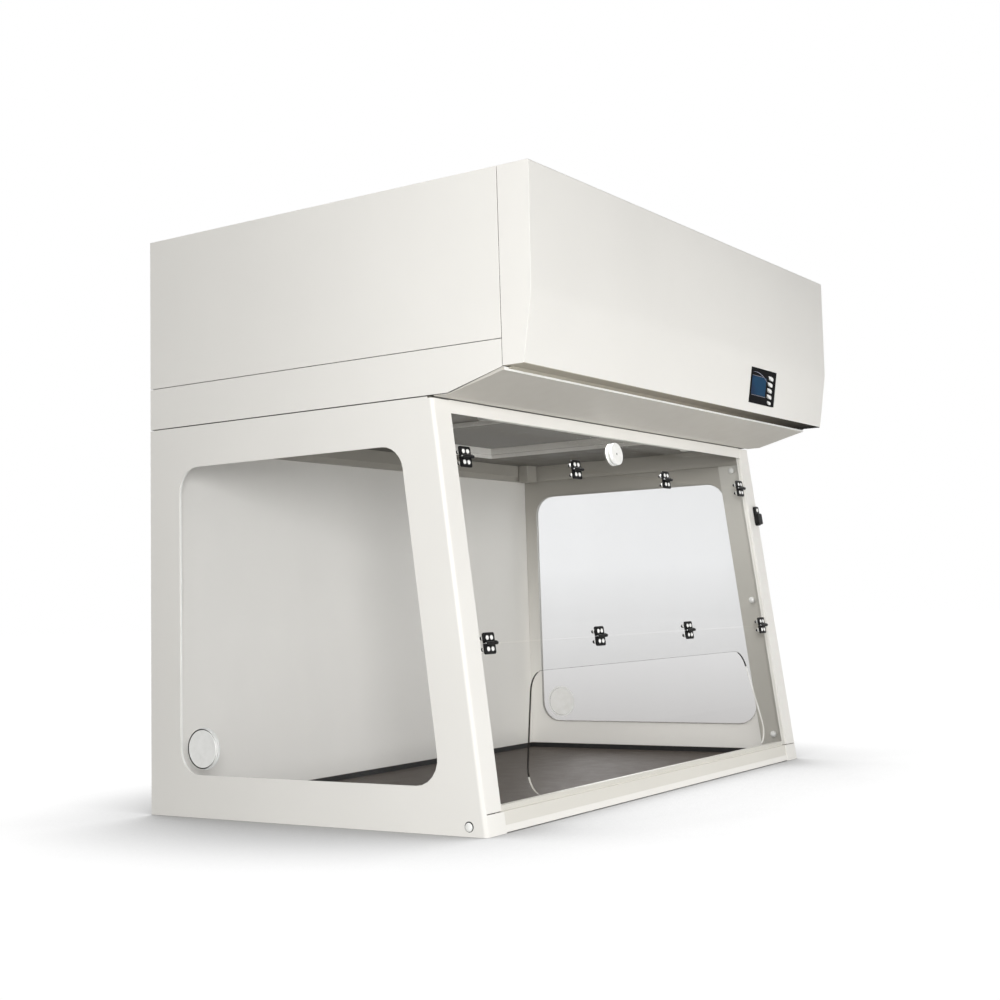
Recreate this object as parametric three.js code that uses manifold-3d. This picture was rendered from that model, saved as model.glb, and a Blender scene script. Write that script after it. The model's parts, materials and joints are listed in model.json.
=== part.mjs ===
// Ductless bench fume hood: a clear-fronted work chamber under a filter and fan housing.
// Millimetres, +Z up. X runs across the front (+X right), Y runs from front to back.
// Inside this file y = 0 is the foot of the chamber's leaning front; the whole group is then
// shifted so that the origin is the centre of the hood's footprint, on the surface it stands on.

import * as THREE from 'three';
import { mergeVertices } from 'three/addons/utils/BufferGeometryUtils.js';
import Module from 'manifold-3d';

const wasm = await Module();
wasm.setup();

// ---------------------------------------------------------------- driving dimensions

const HALF_WIDTH = 700;
const HEIGHT = 1200;
const REAR_Y = 832;              // rear edge of the side panels
const OVERHANG = 132;            // how far the fascia stands in front of the chamber's foot
const LEAN = THREE.MathUtils.degToRad(6.85);   // the chamber front leans back by this much
const GAP = 0.3;                 // clearance between parts that rest on each other

const PANEL = 3;                 // chamber side panel sheet
const SHEET = 2.5;               // other folded sheet
const CHAMBER_TOP = 792.5;       // top edge of the chamber side panels
const DECK_BOTTOM = 794.5;       // filter deck, resting above them
const DECK_TOP = 880.4;
const HOUSING_BOTTOM = 881.6;
const SEAM_Y = -62;              // the fascia meets the housing sides here
const SEAM_GAP = 0.6;            // half of the visible seam

const POST_INNER = 645;          // inner edge of each front post
const POST_RADIUS = 8;           // outer corner of the post
const POST_LIP = 12;             // depth of the post's inner return
const TAB_INNER = 637;           // the foot of the post is a little wider
const SLIT_AT = 39;              // bend relief above the foot

const WINDOW_FRONT = 87;         // window edge behind the leaning front
const WINDOW_REAR = 748;
const WINDOW_LOW = 84;
const WINDOW_HIGH = 707;
const WINDOW_RADIUS = 50;
const WINDOW_OVERLAP = 25;       // pane beyond the opening
const PANE = 4;                  // clear acrylic sheet
const PORT = { y: 688, z: 136, hole: 33, flange: 37.5 };
const STRIP = { low: 30, high: 784, front: 22 };          // inner strip along the window's front edge
const KNOBS = { heights: [60, 400, 738], behind: 48, radius: 8, crown: 12 };
const CORNER_CAP = { y: 38, z: 17, radius: 8 };

const BACK_Y = 788;              // chamber rear wall
const BASE_PLATE = 2.5;
const WORKTOP = { half: 688, front: 34, rear: 786, bottom: 2.8, floor: 9.8, rim: 23, wall: 4 };

// Heights along the leaning front, measured up the slope from its foot.
const RAIL_LOW = 770.5;
const RAIL_HIGH = 796.5;
const UPPER_HINGE = 689;
const LOWER_HINGE = 338.4;
const SASH_LOW = 41;
const SASH_HALF = 642;
const SASH_SPLIT = 2;            // pane edge to hinge line
const PANE_FRONT = 3.3;          // depth of the panes' front face behind the front plane
const ARM_OPENING = { low: 50, high: 280, halfLow: 551, halfHigh: 477, radiusLow: 45, radiusHigh: 55 };

const HINGE_X = [-614, -204.7, 204.7, 614];
const HINGE = { half: 20, leaf: 20, thick: 2.7, axis: -4.5, barrel: 5, pin: 2, bore: 2.4, split: 7 };

const BEND_Z = 962;              // the fascia's soft bend
const BEND_Y = -128.6;
const BEND_RADIUS = 200;
const FASCIA_LOW = 831;
const FASCIA_LOW_Y = -108;
const FASCIA_RETURN = 38;        // depth of the fascia's inward fold along its lower edge
const HEM = 7;                   // height of the underside panel's rolled hem
const PANEL_GLASS = { x0: 256, x1: 396, t0: 23, t1: 105 };

const FILTER_OPENING = { half: 305, front: 170, rear: 640 };
const COLLAR_TOP = DECK_BOTTOM + 27.5;
const LAMP = { half: 450, front: 125, rear: 165, low: 774 };
const TOP_SLOTS = { count: 14, first: 250, pitch: 22, width: 9, half: 240 };
const INLET = { x: 520, z: 940, halfWidth: 24, halfHeight: 14 };
const FAN = { x: 0, y: 400, radius: 140, inlet: 90, low: 995, high: 1075, hub: 32, shaft: 8 };
const MOTOR = { radius: 62, flange: 72, low: 6, height: 62 };
const BEAM = { half: 45, height: 24 };

// ---------------------------------------------------------------- materials

const finish = (color, roughness, metalness = 0, opacity = 1) =>
  new THREE.MeshStandardMaterial({ color, roughness, metalness, opacity, transparent: opacity < 1 });

const PAINT = finish(0xe9e8e4, 0.45);
const SHADED_PAINT = finish(0xb9b5ad, 0.5);
const SILL_PAINT = finish(0xd9d4c8, 0.45);
const CLEAR = finish(0xdfe5e3, 0.05, 0, 0.25);
const PHENOLIC = finish(0x2c2725, 0.35);
const BLACK_PLASTIC = finish(0x141414, 0.45);
const WHITE_PLASTIC = finish(0xf4f3ef, 0.4);
const BLACK_GLASS = finish(0x0b0c0f, 0.1);
const BLUE_LCD = finish(0x1d5a80, 0.2);
const GALVANISED = finish(0xa9adb0, 0.4, 0.8);
const MOTOR_BLACK = finish(0x2a2b2d, 0.5, 0.3);
const FILTER_WHITE = finish(0xdedbd2, 0.9);
const CARBON_CASE = finish(0x8d8f90, 0.6, 0.2);
const GASKET = finish(0x242424, 0.9);
const BOARD = finish(0x2f6b3f, 0.6);

// ---------------------------------------------------------------- shape helpers

const vec = (x, y) => new THREE.Vector2(x, y);

function arcPoints(cx, cy, radius, fromDeg, toDeg, steps) {
  const points = [];
  for (let i = 0; i <= steps; i += 1) {
    const a = THREE.MathUtils.degToRad(fromDeg + ((toDeg - fromDeg) * i) / steps);
    points.push(vec(cx + radius * Math.cos(a), cy + radius * Math.sin(a)));
  }
  return points;
}

const circle = (cx, cy, radius, sides) => arcPoints(cx, cy, radius, 0, 360 - 360 / sides, sides - 1);

// Polygon whose corners are rounded; each corner is [x, y, radius].
function roundedPolygon(corners, steps = 6) {
  const points = [];
  corners.forEach(([x, y, radius = 0], i) => {
    const here = vec(x, y);
    if (radius === 0) {
      points.push(here);
      return;
    }
    const before = vec(...corners[(i + corners.length - 1) % corners.length]).sub(here).normalize();
    const after = vec(...corners[(i + 1) % corners.length]).sub(here).normalize();
    const half = Math.acos(before.dot(after)) / 2;
    const bisector = before.clone().add(after).normalize();
    const middle = bisector.multiplyScalar(radius / Math.sin(half)).add(here);
    const start = here.clone().addScaledVector(before, radius / Math.tan(half)).sub(middle);
    const end = here.clone().addScaledVector(after, radius / Math.tan(half)).sub(middle);
    const turn = Math.atan2(start.cross(end), start.dot(end));
    for (let k = 0; k <= steps; k += 1) {
      points.push(start.clone().rotateAround(vec(0, 0), (turn * k) / steps).add(middle));
    }
  });
  return points;
}

const rectangle = (x0, x1, y0, y1, radius = 0) =>
  roundedPolygon([[x0, y0, radius], [x1, y0, radius], [x1, y1, radius], [x0, y1, radius]]);

function extrude(points, depth, basis, offset, holes = []) {
  const shape = new THREE.Shape(points);
  holes.forEach((hole) => shape.holes.push(new THREE.Path(hole)));
  const geometry = new THREE.ExtrudeGeometry(shape, { depth, bevelEnabled: false });
  const matrix = new THREE.Matrix4().makeBasis(...basis.map((b) => new THREE.Vector3(...b)));
  matrix.setPosition(...offset);
  return geometry.applyMatrix4(matrix);
}

// Extrusions along each axis: outlines are in (y, z), (x, z) and (x, y).
const alongX = (points, x0, x1, holes) =>
  extrude(points, Math.abs(x1 - x0), [[0, 1, 0], [0, 0, 1], [1, 0, 0]], [Math.min(x0, x1), 0, 0], holes);
const alongY = (points, y0, y1, holes) =>
  extrude(points, y1 - y0, [[1, 0, 0], [0, 0, 1], [0, -1, 0]], [0, y1, 0], holes);
const alongZ = (points, z0, z1, holes) =>
  extrude(points, z1 - z0, [[1, 0, 0], [0, 1, 0], [0, 0, 1]], [0, 0, z0], holes);

function block(x0, x1, y0, y1, z0, z1) {
  const geometry = new THREE.BoxGeometry(Math.abs(x1 - x0), y1 - y0, z1 - z0);
  return geometry.translate((x0 + x1) / 2, (y0 + y1) / 2, (z0 + z1) / 2);
}

const leanBack = (geometry) => geometry.applyMatrix4(new THREE.Matrix4().makeRotationX(-LEAN));
const frontLine = (z) => z * Math.tan(LEAN);

// ---------------------------------------------------------------- booleans

function toSolid(geometry) {
  const bare = geometry.clone();
  bare.deleteAttribute('normal');
  bare.deleteAttribute('uv');
  const welded = mergeVertices(bare, 1e-4);
  const mesh = new wasm.Mesh({
    numProp: 3,
    vertProperties: new Float32Array(welded.attributes.position.array),
    triVerts: new Uint32Array(welded.index.array),
  });
  return new wasm.Manifold(mesh);
}

function toGeometry(solid) {
  const mesh = solid.getMesh();
  const geometry = new THREE.BufferGeometry();
  const positions = Float32Array.from(mesh.vertProperties);
  geometry.setAttribute('position', new THREE.BufferAttribute(positions, 3));
  geometry.setIndex(new THREE.BufferAttribute(Uint32Array.from(mesh.triVerts), 1));
  geometry.computeVertexNormals();
  return geometry;
}

const join = (...geometries) => toGeometry(geometries.map(toSolid).reduce((a, b) => a.add(b)));
const cut = (body, ...tools) =>
  toGeometry(tools.map(toSolid).reduce((a, b) => a.subtract(b), toSolid(body)));
const keep = (body, region) => toGeometry(toSolid(body).intersect(toSolid(region)));

function part(parent, name, geometry, material) {
  const mesh = new THREE.Mesh(geometry, material);
  mesh.name = name;
  parent.add(mesh);
  return mesh;
}

const SIDES = [['left', -1], ['right', 1]];

// ---------------------------------------------------------------- chamber

const hood = new THREE.Group();
hood.position.y = -(REAR_Y - OVERHANG) / 2;

const front = new THREE.Group();      // x across, y into the chamber, z up the slope
front.rotation.x = -LEAN;
hood.add(front);

function windowOutline(grow, frontOffset, radius) {
  const low = WINDOW_LOW - grow;
  const high = WINDOW_HIGH + grow;
  return roundedPolygon([
    [frontLine(low) + frontOffset, low, radius],
    [WINDOW_REAR + grow, low, radius],
    [WINDOW_REAR + grow, high, radius],
    [frontLine(high) + frontOffset, high, radius],
  ]);
}

function sidePanel(side) {
  const sheetFront = 12;
  const legDepth = 30;
  const outline = [
    vec(sheetFront, 0),
    vec(REAR_Y, 0),
    vec(REAR_Y, CHAMBER_TOP),
    vec(frontLine(CHAMBER_TOP) + sheetFront, CHAMBER_TOP),
  ];
  const outer = side * HALF_WIDTH;
  const inner = side * (HALF_WIDTH - PANEL);
  const opening = windowOutline(0, WINDOW_FRONT, WINDOW_RADIUS);
  const sheet = alongX(outline, outer, inner, [opening]);

  const corner = HALF_WIDTH - POST_RADIUS;
  const profile = [
    vec(HALF_WIDTH, legDepth),
    ...arcPoints(corner, POST_RADIUS, POST_RADIUS, 0, -90, 5),
    vec(POST_INNER, 0),
    vec(POST_INNER, POST_LIP),
    vec(POST_INNER + PANEL, POST_LIP),
    vec(POST_INNER + PANEL, PANEL),
    ...arcPoints(corner, POST_RADIUS, POST_RADIUS - PANEL, -90, 0, 5),
    vec(HALF_WIDTH - PANEL, legDepth),
  ].map((p) => vec(side * p.x, p.y));
  const postTop = CHAMBER_TOP - PANEL;
  const post = leanBack(alongZ(profile, -10, HEIGHT));
  const slitHalf = 1;
  const slitLow = SLIT_AT - slitHalf;
  const slitHigh = SLIT_AT + slitHalf;
  const slit = leanBack(block(side * corner, side * (POST_INNER - 5), -1, POST_LIP + 1, slitLow, slitHigh));
  const foot = leanBack(block(side * TAB_INNER, side * (POST_INNER + 1), 0, PANEL, -10, slitLow));
  const reach = side * (HALF_WIDTH + 5);
  const heightLimit = block(reach, side * (TAB_INNER - 5), -50, REAR_Y, 0, postTop);
  return join(sheet, keep(cut(join(post, foot), slit), heightLimit));
}

function sideWindow(side) {
  const outer = side * (HALF_WIDTH - PANEL - GAP);
  const inner = side * (HALF_WIDTH - PANEL - GAP - PANE);
  const outline = windowOutline(WINDOW_OVERLAP, 24, 12);
  return alongX(outline, outer, inner, [circle(PORT.y, PORT.z, PORT.hole, 28)]);
}

// Plug that closes the service port: a lid on the outside and a boss through the pane.
function portPlug(side) {
  const paneOuter = HALF_WIDTH - PANEL - GAP;
  const lidOuter = HALF_WIDTH - 0.2;
  const bossInner = paneOuter - PANE - 2;
  const lid = circle(PORT.y, PORT.z, PORT.flange, 28);
  const boss = circle(PORT.y, PORT.z, PORT.hole - 0.5, 28);
  return join(
    alongX(lid, side * lidOuter, side * (paneOuter + GAP)),
    alongX(boss, side * (paneOuter + 1), side * bossInner),
  );
}

// Inner strip that clamps the pane along the front, with its three domed knobs.
function glazingStrip(side) {
  const { low, high, front: near } = STRIP;
  const outer = HALF_WIDTH - PANEL - GAP - PANE - GAP;
  const inner = outer - SHEET;
  const outline = [
    vec(frontLine(low) + near, low),
    vec(frontLine(low) + WINDOW_FRONT, low),
    vec(frontLine(high) + WINDOW_FRONT, high),
    vec(frontLine(high) + near, high),
  ];
  const pieces = [alongX(outline, side * outer, side * inner)];
  const { heights, behind, radius, crown } = KNOBS;
  const rim = [vec(radius, -1), vec(radius, crown - 3.5), vec(radius - 2.5, crown - 1)];
  const profile = [vec(0, -1), ...rim, vec(0, crown)];
  heights.forEach((z) => {
    const knob = new THREE.LatheGeometry(profile, 16);
    knob.rotateZ((side * Math.PI) / 2);
    knob.translate(side * inner, frontLine(z) + behind, z);
    pieces.push(knob);
  });
  return join(...pieces);
}

// Domed cap that closes the lifting hole in the panel's lower front corner.
function cornerCap(side) {
  const { y, z, radius } = CORNER_CAP;
  const profile = [vec(0, 0), vec(radius, 0), vec(radius, 1), vec(radius - 3, 2.4), vec(0, 3)];
  const cap = new THREE.LatheGeometry(profile, 20);
  return cap.rotateZ((-side * Math.PI) / 2).translate(side * (HALF_WIDTH + 0.2), y, z);
}

function backPanel() {
  const half = HALF_WIDTH - PANEL - 0.5;
  const deep = REAR_Y - 1;
  const wallRear = BACK_Y + SHEET;
  const outline = [
    vec(-half, BACK_Y), vec(half, BACK_Y), vec(half, deep), vec(half - SHEET, deep),
    vec(half - SHEET, wallRear), vec(-half + SHEET, wallRear), vec(-half + SHEET, deep), vec(-half, deep),
  ];
  return alongZ(outline, 1, CHAMBER_TOP - 0.5);
}

// Dark work surface with an upstand on all four sides.
function worktop() {
  const { half, front: near, rear, bottom, floor, rim, wall } = WORKTOP;
  const outer = block(-half, half, near, rear, bottom, rim);
  return cut(outer, block(-half + wall, half - wall, near + wall, rear - wall, floor, rim + 1));
}

// Folded front sill: top lip, shallow step behind the sash's foot, face, and a flared hem.
function frontSill() {
  const outline = [
    vec(30, 49), vec(8, 49), vec(8, 38.5), vec(2, 38.5), vec(2, 14), vec(0, 1.5),
    vec(2.5, 1.5), vec(4.5, 13.8), vec(4.5, 36), vec(10.5, 36), vec(10.5, 46.5), vec(30, 46.5),
  ];
  const half = TAB_INNER - 0.5;
  return alongX(outline, -half, half);
}

function frontRail() {
  const half = POST_INNER - GAP;
  const outline = [
    vec(0, RAIL_LOW), vec(SHEET, RAIL_LOW), vec(SHEET, RAIL_HIGH - SHEET), vec(26, RAIL_HIGH - SHEET),
    vec(26, RAIL_HIGH), vec(0, RAIL_HIGH),
  ];
  return alongX(outline, -half, half);
}

const baseHalf = HALF_WIDTH - PANEL - 0.5;
part(hood, 'base_plate', block(-baseHalf, baseHalf, 20, BACK_Y - 1, 0, BASE_PLATE), PAINT);
part(hood, 'worktop', worktop(), PHENOLIC);
part(hood, 'back_panel', backPanel(), PAINT);
SIDES.forEach(([label, side]) => {
  part(hood, `side_panel_${label}`, sidePanel(side), PAINT);
  part(hood, `side_window_${label}`, sideWindow(side), CLEAR);
  part(hood, `port_plug_${label}`, portPlug(side), CLEAR);
  part(hood, `glazing_strip_${label}`, glazingStrip(side), SHADED_PAINT);
  part(hood, `corner_cap_${label}`, cornerCap(side), WHITE_PLASTIC);
});
part(front, 'front_sill', frontSill(), SILL_PAINT);
part(front, 'front_rail', frontRail(), PAINT);

// ---------------------------------------------------------------- clear front and its hinges

const paneRear = PANE_FRONT + PANE;
const SAMPLING = { x: -22, s: 735, radius: 25, neck: 14 };

function armOpening() {
  const a = ARM_OPENING;
  return roundedPolygon([
    [-a.halfLow, a.low, a.radiusLow], [a.halfLow, a.low, a.radiusLow],
    [a.halfHigh, a.high, a.radiusHigh], [-a.halfHigh, a.high, a.radiusHigh],
  ], 8);
}

// White two-flanged grommet through the fixed pane, with a small probe hole on its axis.
function samplingPort() {
  const probe = 2.5;
  const neck = SAMPLING.neck - 0.5;
  const rim = SAMPLING.radius;
  const faces = [-3, PANE_FRONT - GAP, paneRear + GAP, paneRear + 6.5];
  const profile = [
    vec(probe, faces[0]), vec(rim - 1.5, faces[0]), vec(rim, faces[0] + 1.5),
    vec(rim, faces[1]), vec(neck, faces[1]), vec(neck, faces[2]), vec(rim, faces[2]),
    vec(rim, faces[3]), vec(probe, faces[3]), vec(probe, faces[0]),
  ];
  return new THREE.LatheGeometry(profile, 32).translate(SAMPLING.x, 0, SAMPLING.s);
}

// One leaf: plate, its barrels and, on the carrying leaf, the pin. up = +1 above the hinge line.
function hingeLeaf(x, line, up, carriesPin) {
  const { half, leaf, thick, axis, barrel, pin, bore, split } = HINGE;
  const plateRear = PANE_FRONT - GAP;
  const plateFront = plateRear - thick;
  const start = barrel + 1;
  const outline = roundedPolygon([
    [x - half, line + up * start], [x + half, line + up * start],
    [x + half, line + up * leaf, 5], [x - half, line + up * leaf, 5],
  ], 4);
  const pieces = [alongY(outline, plateFront, plateRear)];
  const spans = carriesPin ? [[-half, -split - GAP], [split + GAP, half]] : [[-split, split]];
  spans.forEach(([a, b]) => {
    pieces.push(alongX(circle(axis, line, barrel, 16), x + a, x + b));
    const web = [line, line + up * (start + 1)].sort((p, q) => p - q);
    pieces.push(block(x + a, x + b, axis + 3, plateRear, web[0], web[1]));
  });
  if (carriesPin) {
    pieces.push(alongX(circle(axis, line, pin, 12), x - half + 1, x + half - 1));
    return join(...pieces);
  }
  return cut(join(...pieces), alongX(circle(axis, line, bore, 12), x - half, x + half));
}

function clearPane(low, high, holes = []) {
  return alongY(rectangle(-SASH_HALF, SASH_HALF, low, high), PANE_FRONT, paneRear, holes);
}

const probeHole = circle(SAMPLING.x, SAMPLING.s, SAMPLING.neck, 24);
const lowerSash = clearPane(SASH_LOW, LOWER_HINGE - SASH_SPLIT, [armOpening()]);
const upperSash = clearPane(LOWER_HINGE + SASH_SPLIT, UPPER_HINGE - SASH_SPLIT);
const fixedPane = clearPane(UPPER_HINGE + SASH_SPLIT, RAIL_HIGH - 6, [probeHole]);
part(front, 'fixed_pane', fixedPane, CLEAR);
part(front, 'upper_sash_pane', upperSash, CLEAR);
part(front, 'lower_sash_pane', lowerSash, CLEAR);
part(front, 'sampling_port', samplingPort(), WHITE_PLASTIC);
HINGE_X.forEach((x, i) => {
  part(front, `upper_hinge_${i + 1}_top_leaf`, hingeLeaf(x, UPPER_HINGE, 1, true), BLACK_PLASTIC);
  part(front, `upper_hinge_${i + 1}_sash_leaf`, hingeLeaf(x, UPPER_HINGE, -1, false), BLACK_PLASTIC);
  part(front, `lower_hinge_${i + 1}_top_leaf`, hingeLeaf(x, LOWER_HINGE, 1, true), BLACK_PLASTIC);
  part(front, `lower_hinge_${i + 1}_sash_leaf`, hingeLeaf(x, LOWER_HINGE, -1, false), BLACK_PLASTIC);
});

// Turn catch on the right post: pivots on its upper screw and swings in over the sash.
const CATCH = { x: 682, half: 12, low: 594, high: 643, thick: 7, proud: 13 };
function sashCatch() {
  const { x, half, low, high, thick, proud } = CATCH;
  const base = alongY(rectangle(x - half + 1, x + half - 1, low, high, 6), -thick, -GAP);
  const grip = alongY(rectangle(x - half, x + half, low + 2, low + 30, 5), -proud, -thick + 1);
  return join(base, grip);
}
part(front, 'sash_catch', sashCatch(), BLACK_PLASTIC);

// ---------------------------------------------------------------- filter deck and underside

function filterDeck() {
  const { half, front: near, rear } = FILTER_OPENING;
  const wall = 2;
  const cheek = [
    vec(REAR_Y, DECK_BOTTOM), vec(60, DECK_BOTTOM), vec(SEAM_Y + SEAM_GAP, DECK_BOTTOM + 35),
    vec(SEAM_Y + SEAM_GAP, DECK_TOP), vec(REAR_Y, DECK_TOP),
  ];
  const collar = block(-half - wall, half + wall, near - wall, rear + wall, DECK_BOTTOM, COLLAR_TOP);
  const body = join(
    block(-HALF_WIDTH + 1, HALF_WIDTH - 1, 62, REAR_Y, DECK_BOTTOM, DECK_BOTTOM + wall),
    block(-HALF_WIDTH + 1, HALF_WIDTH - 1, REAR_Y - wall, REAR_Y, DECK_BOTTOM, DECK_TOP),
    alongX(cheek, -HALF_WIDTH, -HALF_WIDTH + wall),
    alongX(cheek, HALF_WIDTH - wall, HALF_WIDTH),
    collar,
  );
  return cut(body, block(-half, half, near, rear, DECK_BOTTOM - 5, COLLAR_TOP + 5));
}

// Sloping sheet from the front rail up to the fascia, ending in a small rolled hem.
function undersidePanel() {
  const half = HALF_WIDTH - PANEL - 0.5;
  const flatLow = DECK_BOTTOM - 2.3;
  const flatHigh = DECK_BOTTOM - GAP;
  const hemY = SEAM_Y - 2;
  const hemHigh = flatHigh + 36;
  const hemLow = hemHigh - HEM;
  const outline = [
    vec(94, flatLow), vec(94, flatHigh), vec(60, flatHigh), vec(hemY + 4, hemHigh),
    vec(hemY, hemHigh), vec(hemY, hemLow), vec(hemY + 4, hemLow), vec(60, flatLow),
  ];
  return alongX(outline, -half, half);
}

// Block over the filter opening, larger than it by grow on every side.
function overOpening(grow, z0, z1) {
  const { half, front: near, rear } = FILTER_OPENING;
  return block(-half - grow, half + grow, near - grow, rear + grow, z0, z1);
}

function filterGasket() {
  const low = COLLAR_TOP + GAP;
  const high = COLLAR_TOP + 4;
  return cut(overOpening(20, low, high), overOpening(0, low - 1, high + 1));
}

function workLamp() {
  return block(-LAMP.half, LAMP.half, LAMP.front, LAMP.rear, LAMP.low, DECK_BOTTOM - 3);
}

part(hood, 'filter_deck', filterDeck(), PAINT);
part(hood, 'underside_panel', undersidePanel(), SHADED_PAINT);
part(hood, 'prefilter', overOpening(-1, COLLAR_TOP - 12, COLLAR_TOP - 1), FILTER_WHITE);
part(hood, 'filter_gasket', filterGasket(), GASKET);
part(hood, 'carbon_filter', overOpening(22, COLLAR_TOP + 4 + GAP, COLLAR_TOP + 110), CARBON_CASE);
part(hood, 'work_lamp', workLamp(), WHITE_PLASTIC);

// ---------------------------------------------------------------- fan housing

const insideHalf = HALF_WIDTH - 2.4;
const housingFront = SEAM_Y + SEAM_GAP;

function topCover() {
  const slots = [];
  for (let i = 0; i < TOP_SLOTS.count; i += 1) {
    const y = TOP_SLOTS.first + i * TOP_SLOTS.pitch;
    slots.push(rectangle(-TOP_SLOTS.half, TOP_SLOTS.half, y, y + TOP_SLOTS.width, 4));
  }
  return alongZ(rectangle(-insideHalf, insideHalf, housingFront, REAR_Y), HEIGHT - SHEET, HEIGHT, slots);
}

function housingSide(side) {
  const outline = rectangle(housingFront, REAR_Y, HOUSING_BOTTOM, HEIGHT);
  return alongX(outline, side * (HALF_WIDTH - 2), side * HALF_WIDTH);
}

const housingBackRear = REAR_Y - 3.5;

function housingBack() {
  const outline = rectangle(-insideHalf, insideHalf, HOUSING_BOTTOM, HEIGHT - SHEET - GAP);
  const hole = rectangle(INLET.x - INLET.halfWidth, INLET.x + INLET.halfWidth,
    INLET.z - INLET.halfHeight, INLET.z + INLET.halfHeight);
  return alongY(outline, housingBackRear - SHEET, housingBackRear, [hole]);
}

// Mains inlet: flange outside the back sheet, body in front of it, and a recess for a connector.
function powerInlet() {
  const { x, z, halfWidth: w, halfHeight: h } = INLET;
  const plate = rectangle(x - w - 8, x + w + 8, z - h - 6, z + h + 6, 4);
  const flange = alongY(plate, housingBackRear + GAP, REAR_Y - 0.2);
  const core = rectangle(x - w + 0.5, x + w - 0.5, z - h + 0.5, z + h - 0.5);
  const body = alongY(core, housingBackRear - 24, housingBackRear + 1);
  const recess = block(x - 12, x + 12, housingBackRear - 16, REAR_Y + 2, z - 8, z + 8);
  return cut(join(flange, body), recess);
}

// Backward-curved blades between two discs, round a bored hub.
function impeller() {
  const { x, y, radius, inlet, low, high, hub, shaft } = FAN;
  const blades = 9;
  const pieces = [
    alongZ(circle(x, y, radius, 36), high - 3, high),
    alongZ(circle(x, y, radius, 36), low, low + 3, [circle(x, y, inlet, 30)]),
    alongZ(circle(x, y, hub, 20), high - 34, high),
  ];
  const crescent = [...arcPoints(62, 30, 72, -70, 0, 5), ...arcPoints(62, 30, 69, 0, -70, 5)];
  for (let i = 0; i < blades; i += 1) {
    const turn = (i * 2 * Math.PI) / blades;
    const blade = crescent.map((p) => p.clone().rotateAround(vec(0, 0), turn).add(vec(x, y)));
    pieces.push(alongZ(blade, low + 1, high - 1));
  }
  return cut(join(...pieces), alongZ(circle(x, y, shaft + 1, 16), high - 40, high + 5));
}

function motor() {
  const { x, y, high, shaft } = FAN;
  const top = high + MOTOR.height;
  return join(
    alongZ(circle(x, y, shaft, 16), high - 30, high + 20),
    alongZ(circle(x, y, MOTOR.radius, 28), high + MOTOR.low, top),
    alongZ(circle(x, y, MOTOR.flange, 28), top, top + 6),
  );
}

// Upturned channel across the housing that the motor hangs from.
function motorBeam() {
  const low = FAN.high + MOTOR.height + 6 + GAP;
  const high = low + BEAM.height;
  const near = FAN.y - BEAM.half;
  const far = FAN.y + BEAM.half;
  const outline = [
    vec(near, low), vec(far, low), vec(far, high), vec(far - SHEET, high),
    vec(far - SHEET, low + SHEET), vec(near + SHEET, low + SHEET), vec(near + SHEET, high), vec(near, high),
  ];
  return alongX(outline, -insideHalf, insideHalf);
}

function fanPlate() {
  const outline = rectangle(-insideHalf, insideHalf, -50, housingBackRear - 6);
  return alongZ(outline, FAN.low - 8, FAN.low - 5.5, [circle(FAN.x, FAN.y, FAN.inlet, 30)]);
}

part(hood, 'top_cover', topCover(), PAINT);
part(hood, 'housing_back', housingBack(), PAINT);
part(hood, 'power_inlet', powerInlet(), BLACK_PLASTIC);
SIDES.forEach(([label, side]) => part(hood, `housing_side_${label}`, housingSide(side), PAINT));
part(hood, 'fan_plate', fanPlate(), GALVANISED);
part(hood, 'impeller', impeller(), GALVANISED);
part(hood, 'motor', motor(), MOTOR_BLACK);
part(hood, 'motor_beam', motorBeam(), GALVANISED);

// ---------------------------------------------------------------- fascia and controls

// Negative, because the face runs back as it goes down.
const taper = Math.atan2(BEND_Y - FASCIA_LOW_Y, BEND_Z - FASCIA_LOW);

function fasciaProfile(inset, rearEdge) {
  return roundedPolygon([
    [rearEdge, HEIGHT - inset],
    [-OVERHANG + inset, HEIGHT - inset, inset ? 0 : 3],
    [BEND_Y + inset, BEND_Z, BEND_RADIUS],
    [FASCIA_LOW_Y + inset, FASCIA_LOW + inset, inset ? 0 : 3],
    [rearEdge, FASCIA_LOW + inset],
  ], 5);
}

const controls = new THREE.Group();   // x across, y into the hood, z up the tapered face
controls.position.set(0, FASCIA_LOW_Y, FASCIA_LOW);
controls.rotation.x = -taper;
hood.add(controls);
controls.updateMatrix();

function fasciaCover() {
  const rear = SEAM_Y - SEAM_GAP;
  const shell = alongX(fasciaProfile(0, rear), -HALF_WIDTH, HALF_WIDTH);
  const hollow = alongX(fasciaProfile(SHEET, rear + 5), -HALF_WIDTH + SHEET, HALF_WIDTH - SHEET);
  const { x0, x1, t0, t1 } = PANEL_GLASS;
  const panelHole = block(x0 - 0.4, x1 + 0.4, -6, 12, t0 - 0.4, t1 + 0.4).applyMatrix4(controls.matrix);
  const slotHalf = HALF_WIDTH - 12;
  const slotFront = FASCIA_LOW_Y + FASCIA_RETURN;
  const lowerSlot = block(-slotHalf, slotHalf, slotFront, rear + 5, FASCIA_LOW - 5, FASCIA_LOW + 6);
  return cut(shell, hollow, panelHole, lowerSlot);
}

const LCD = { x0: 263, x1: 342, t0: 43, t1: 86 };
const BUTTON_COUNT = 5;
const BUTTON_PITCH = 14.4;
const BUTTONS = Array.from({ length: BUTTON_COUNT }, (_, i) => {
  const small = i === BUTTON_COUNT - 1;
  return {
    x: 367 - 2.5 * Math.sin((Math.PI * i) / (BUTTON_COUNT - 1)),
    t: 88 - BUTTON_PITCH * i,
    halfWidth: small ? 10 : 13,
    halfHeight: small ? 4 : 5.2,
  };
});
const BUTTON_REAR = 3;

function ellipse(x, t, halfWidth, halfHeight) {
  return circle(0, 0, 1, 20).map((p) => vec(x + p.x * halfWidth, t + p.y * halfHeight));
}

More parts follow.
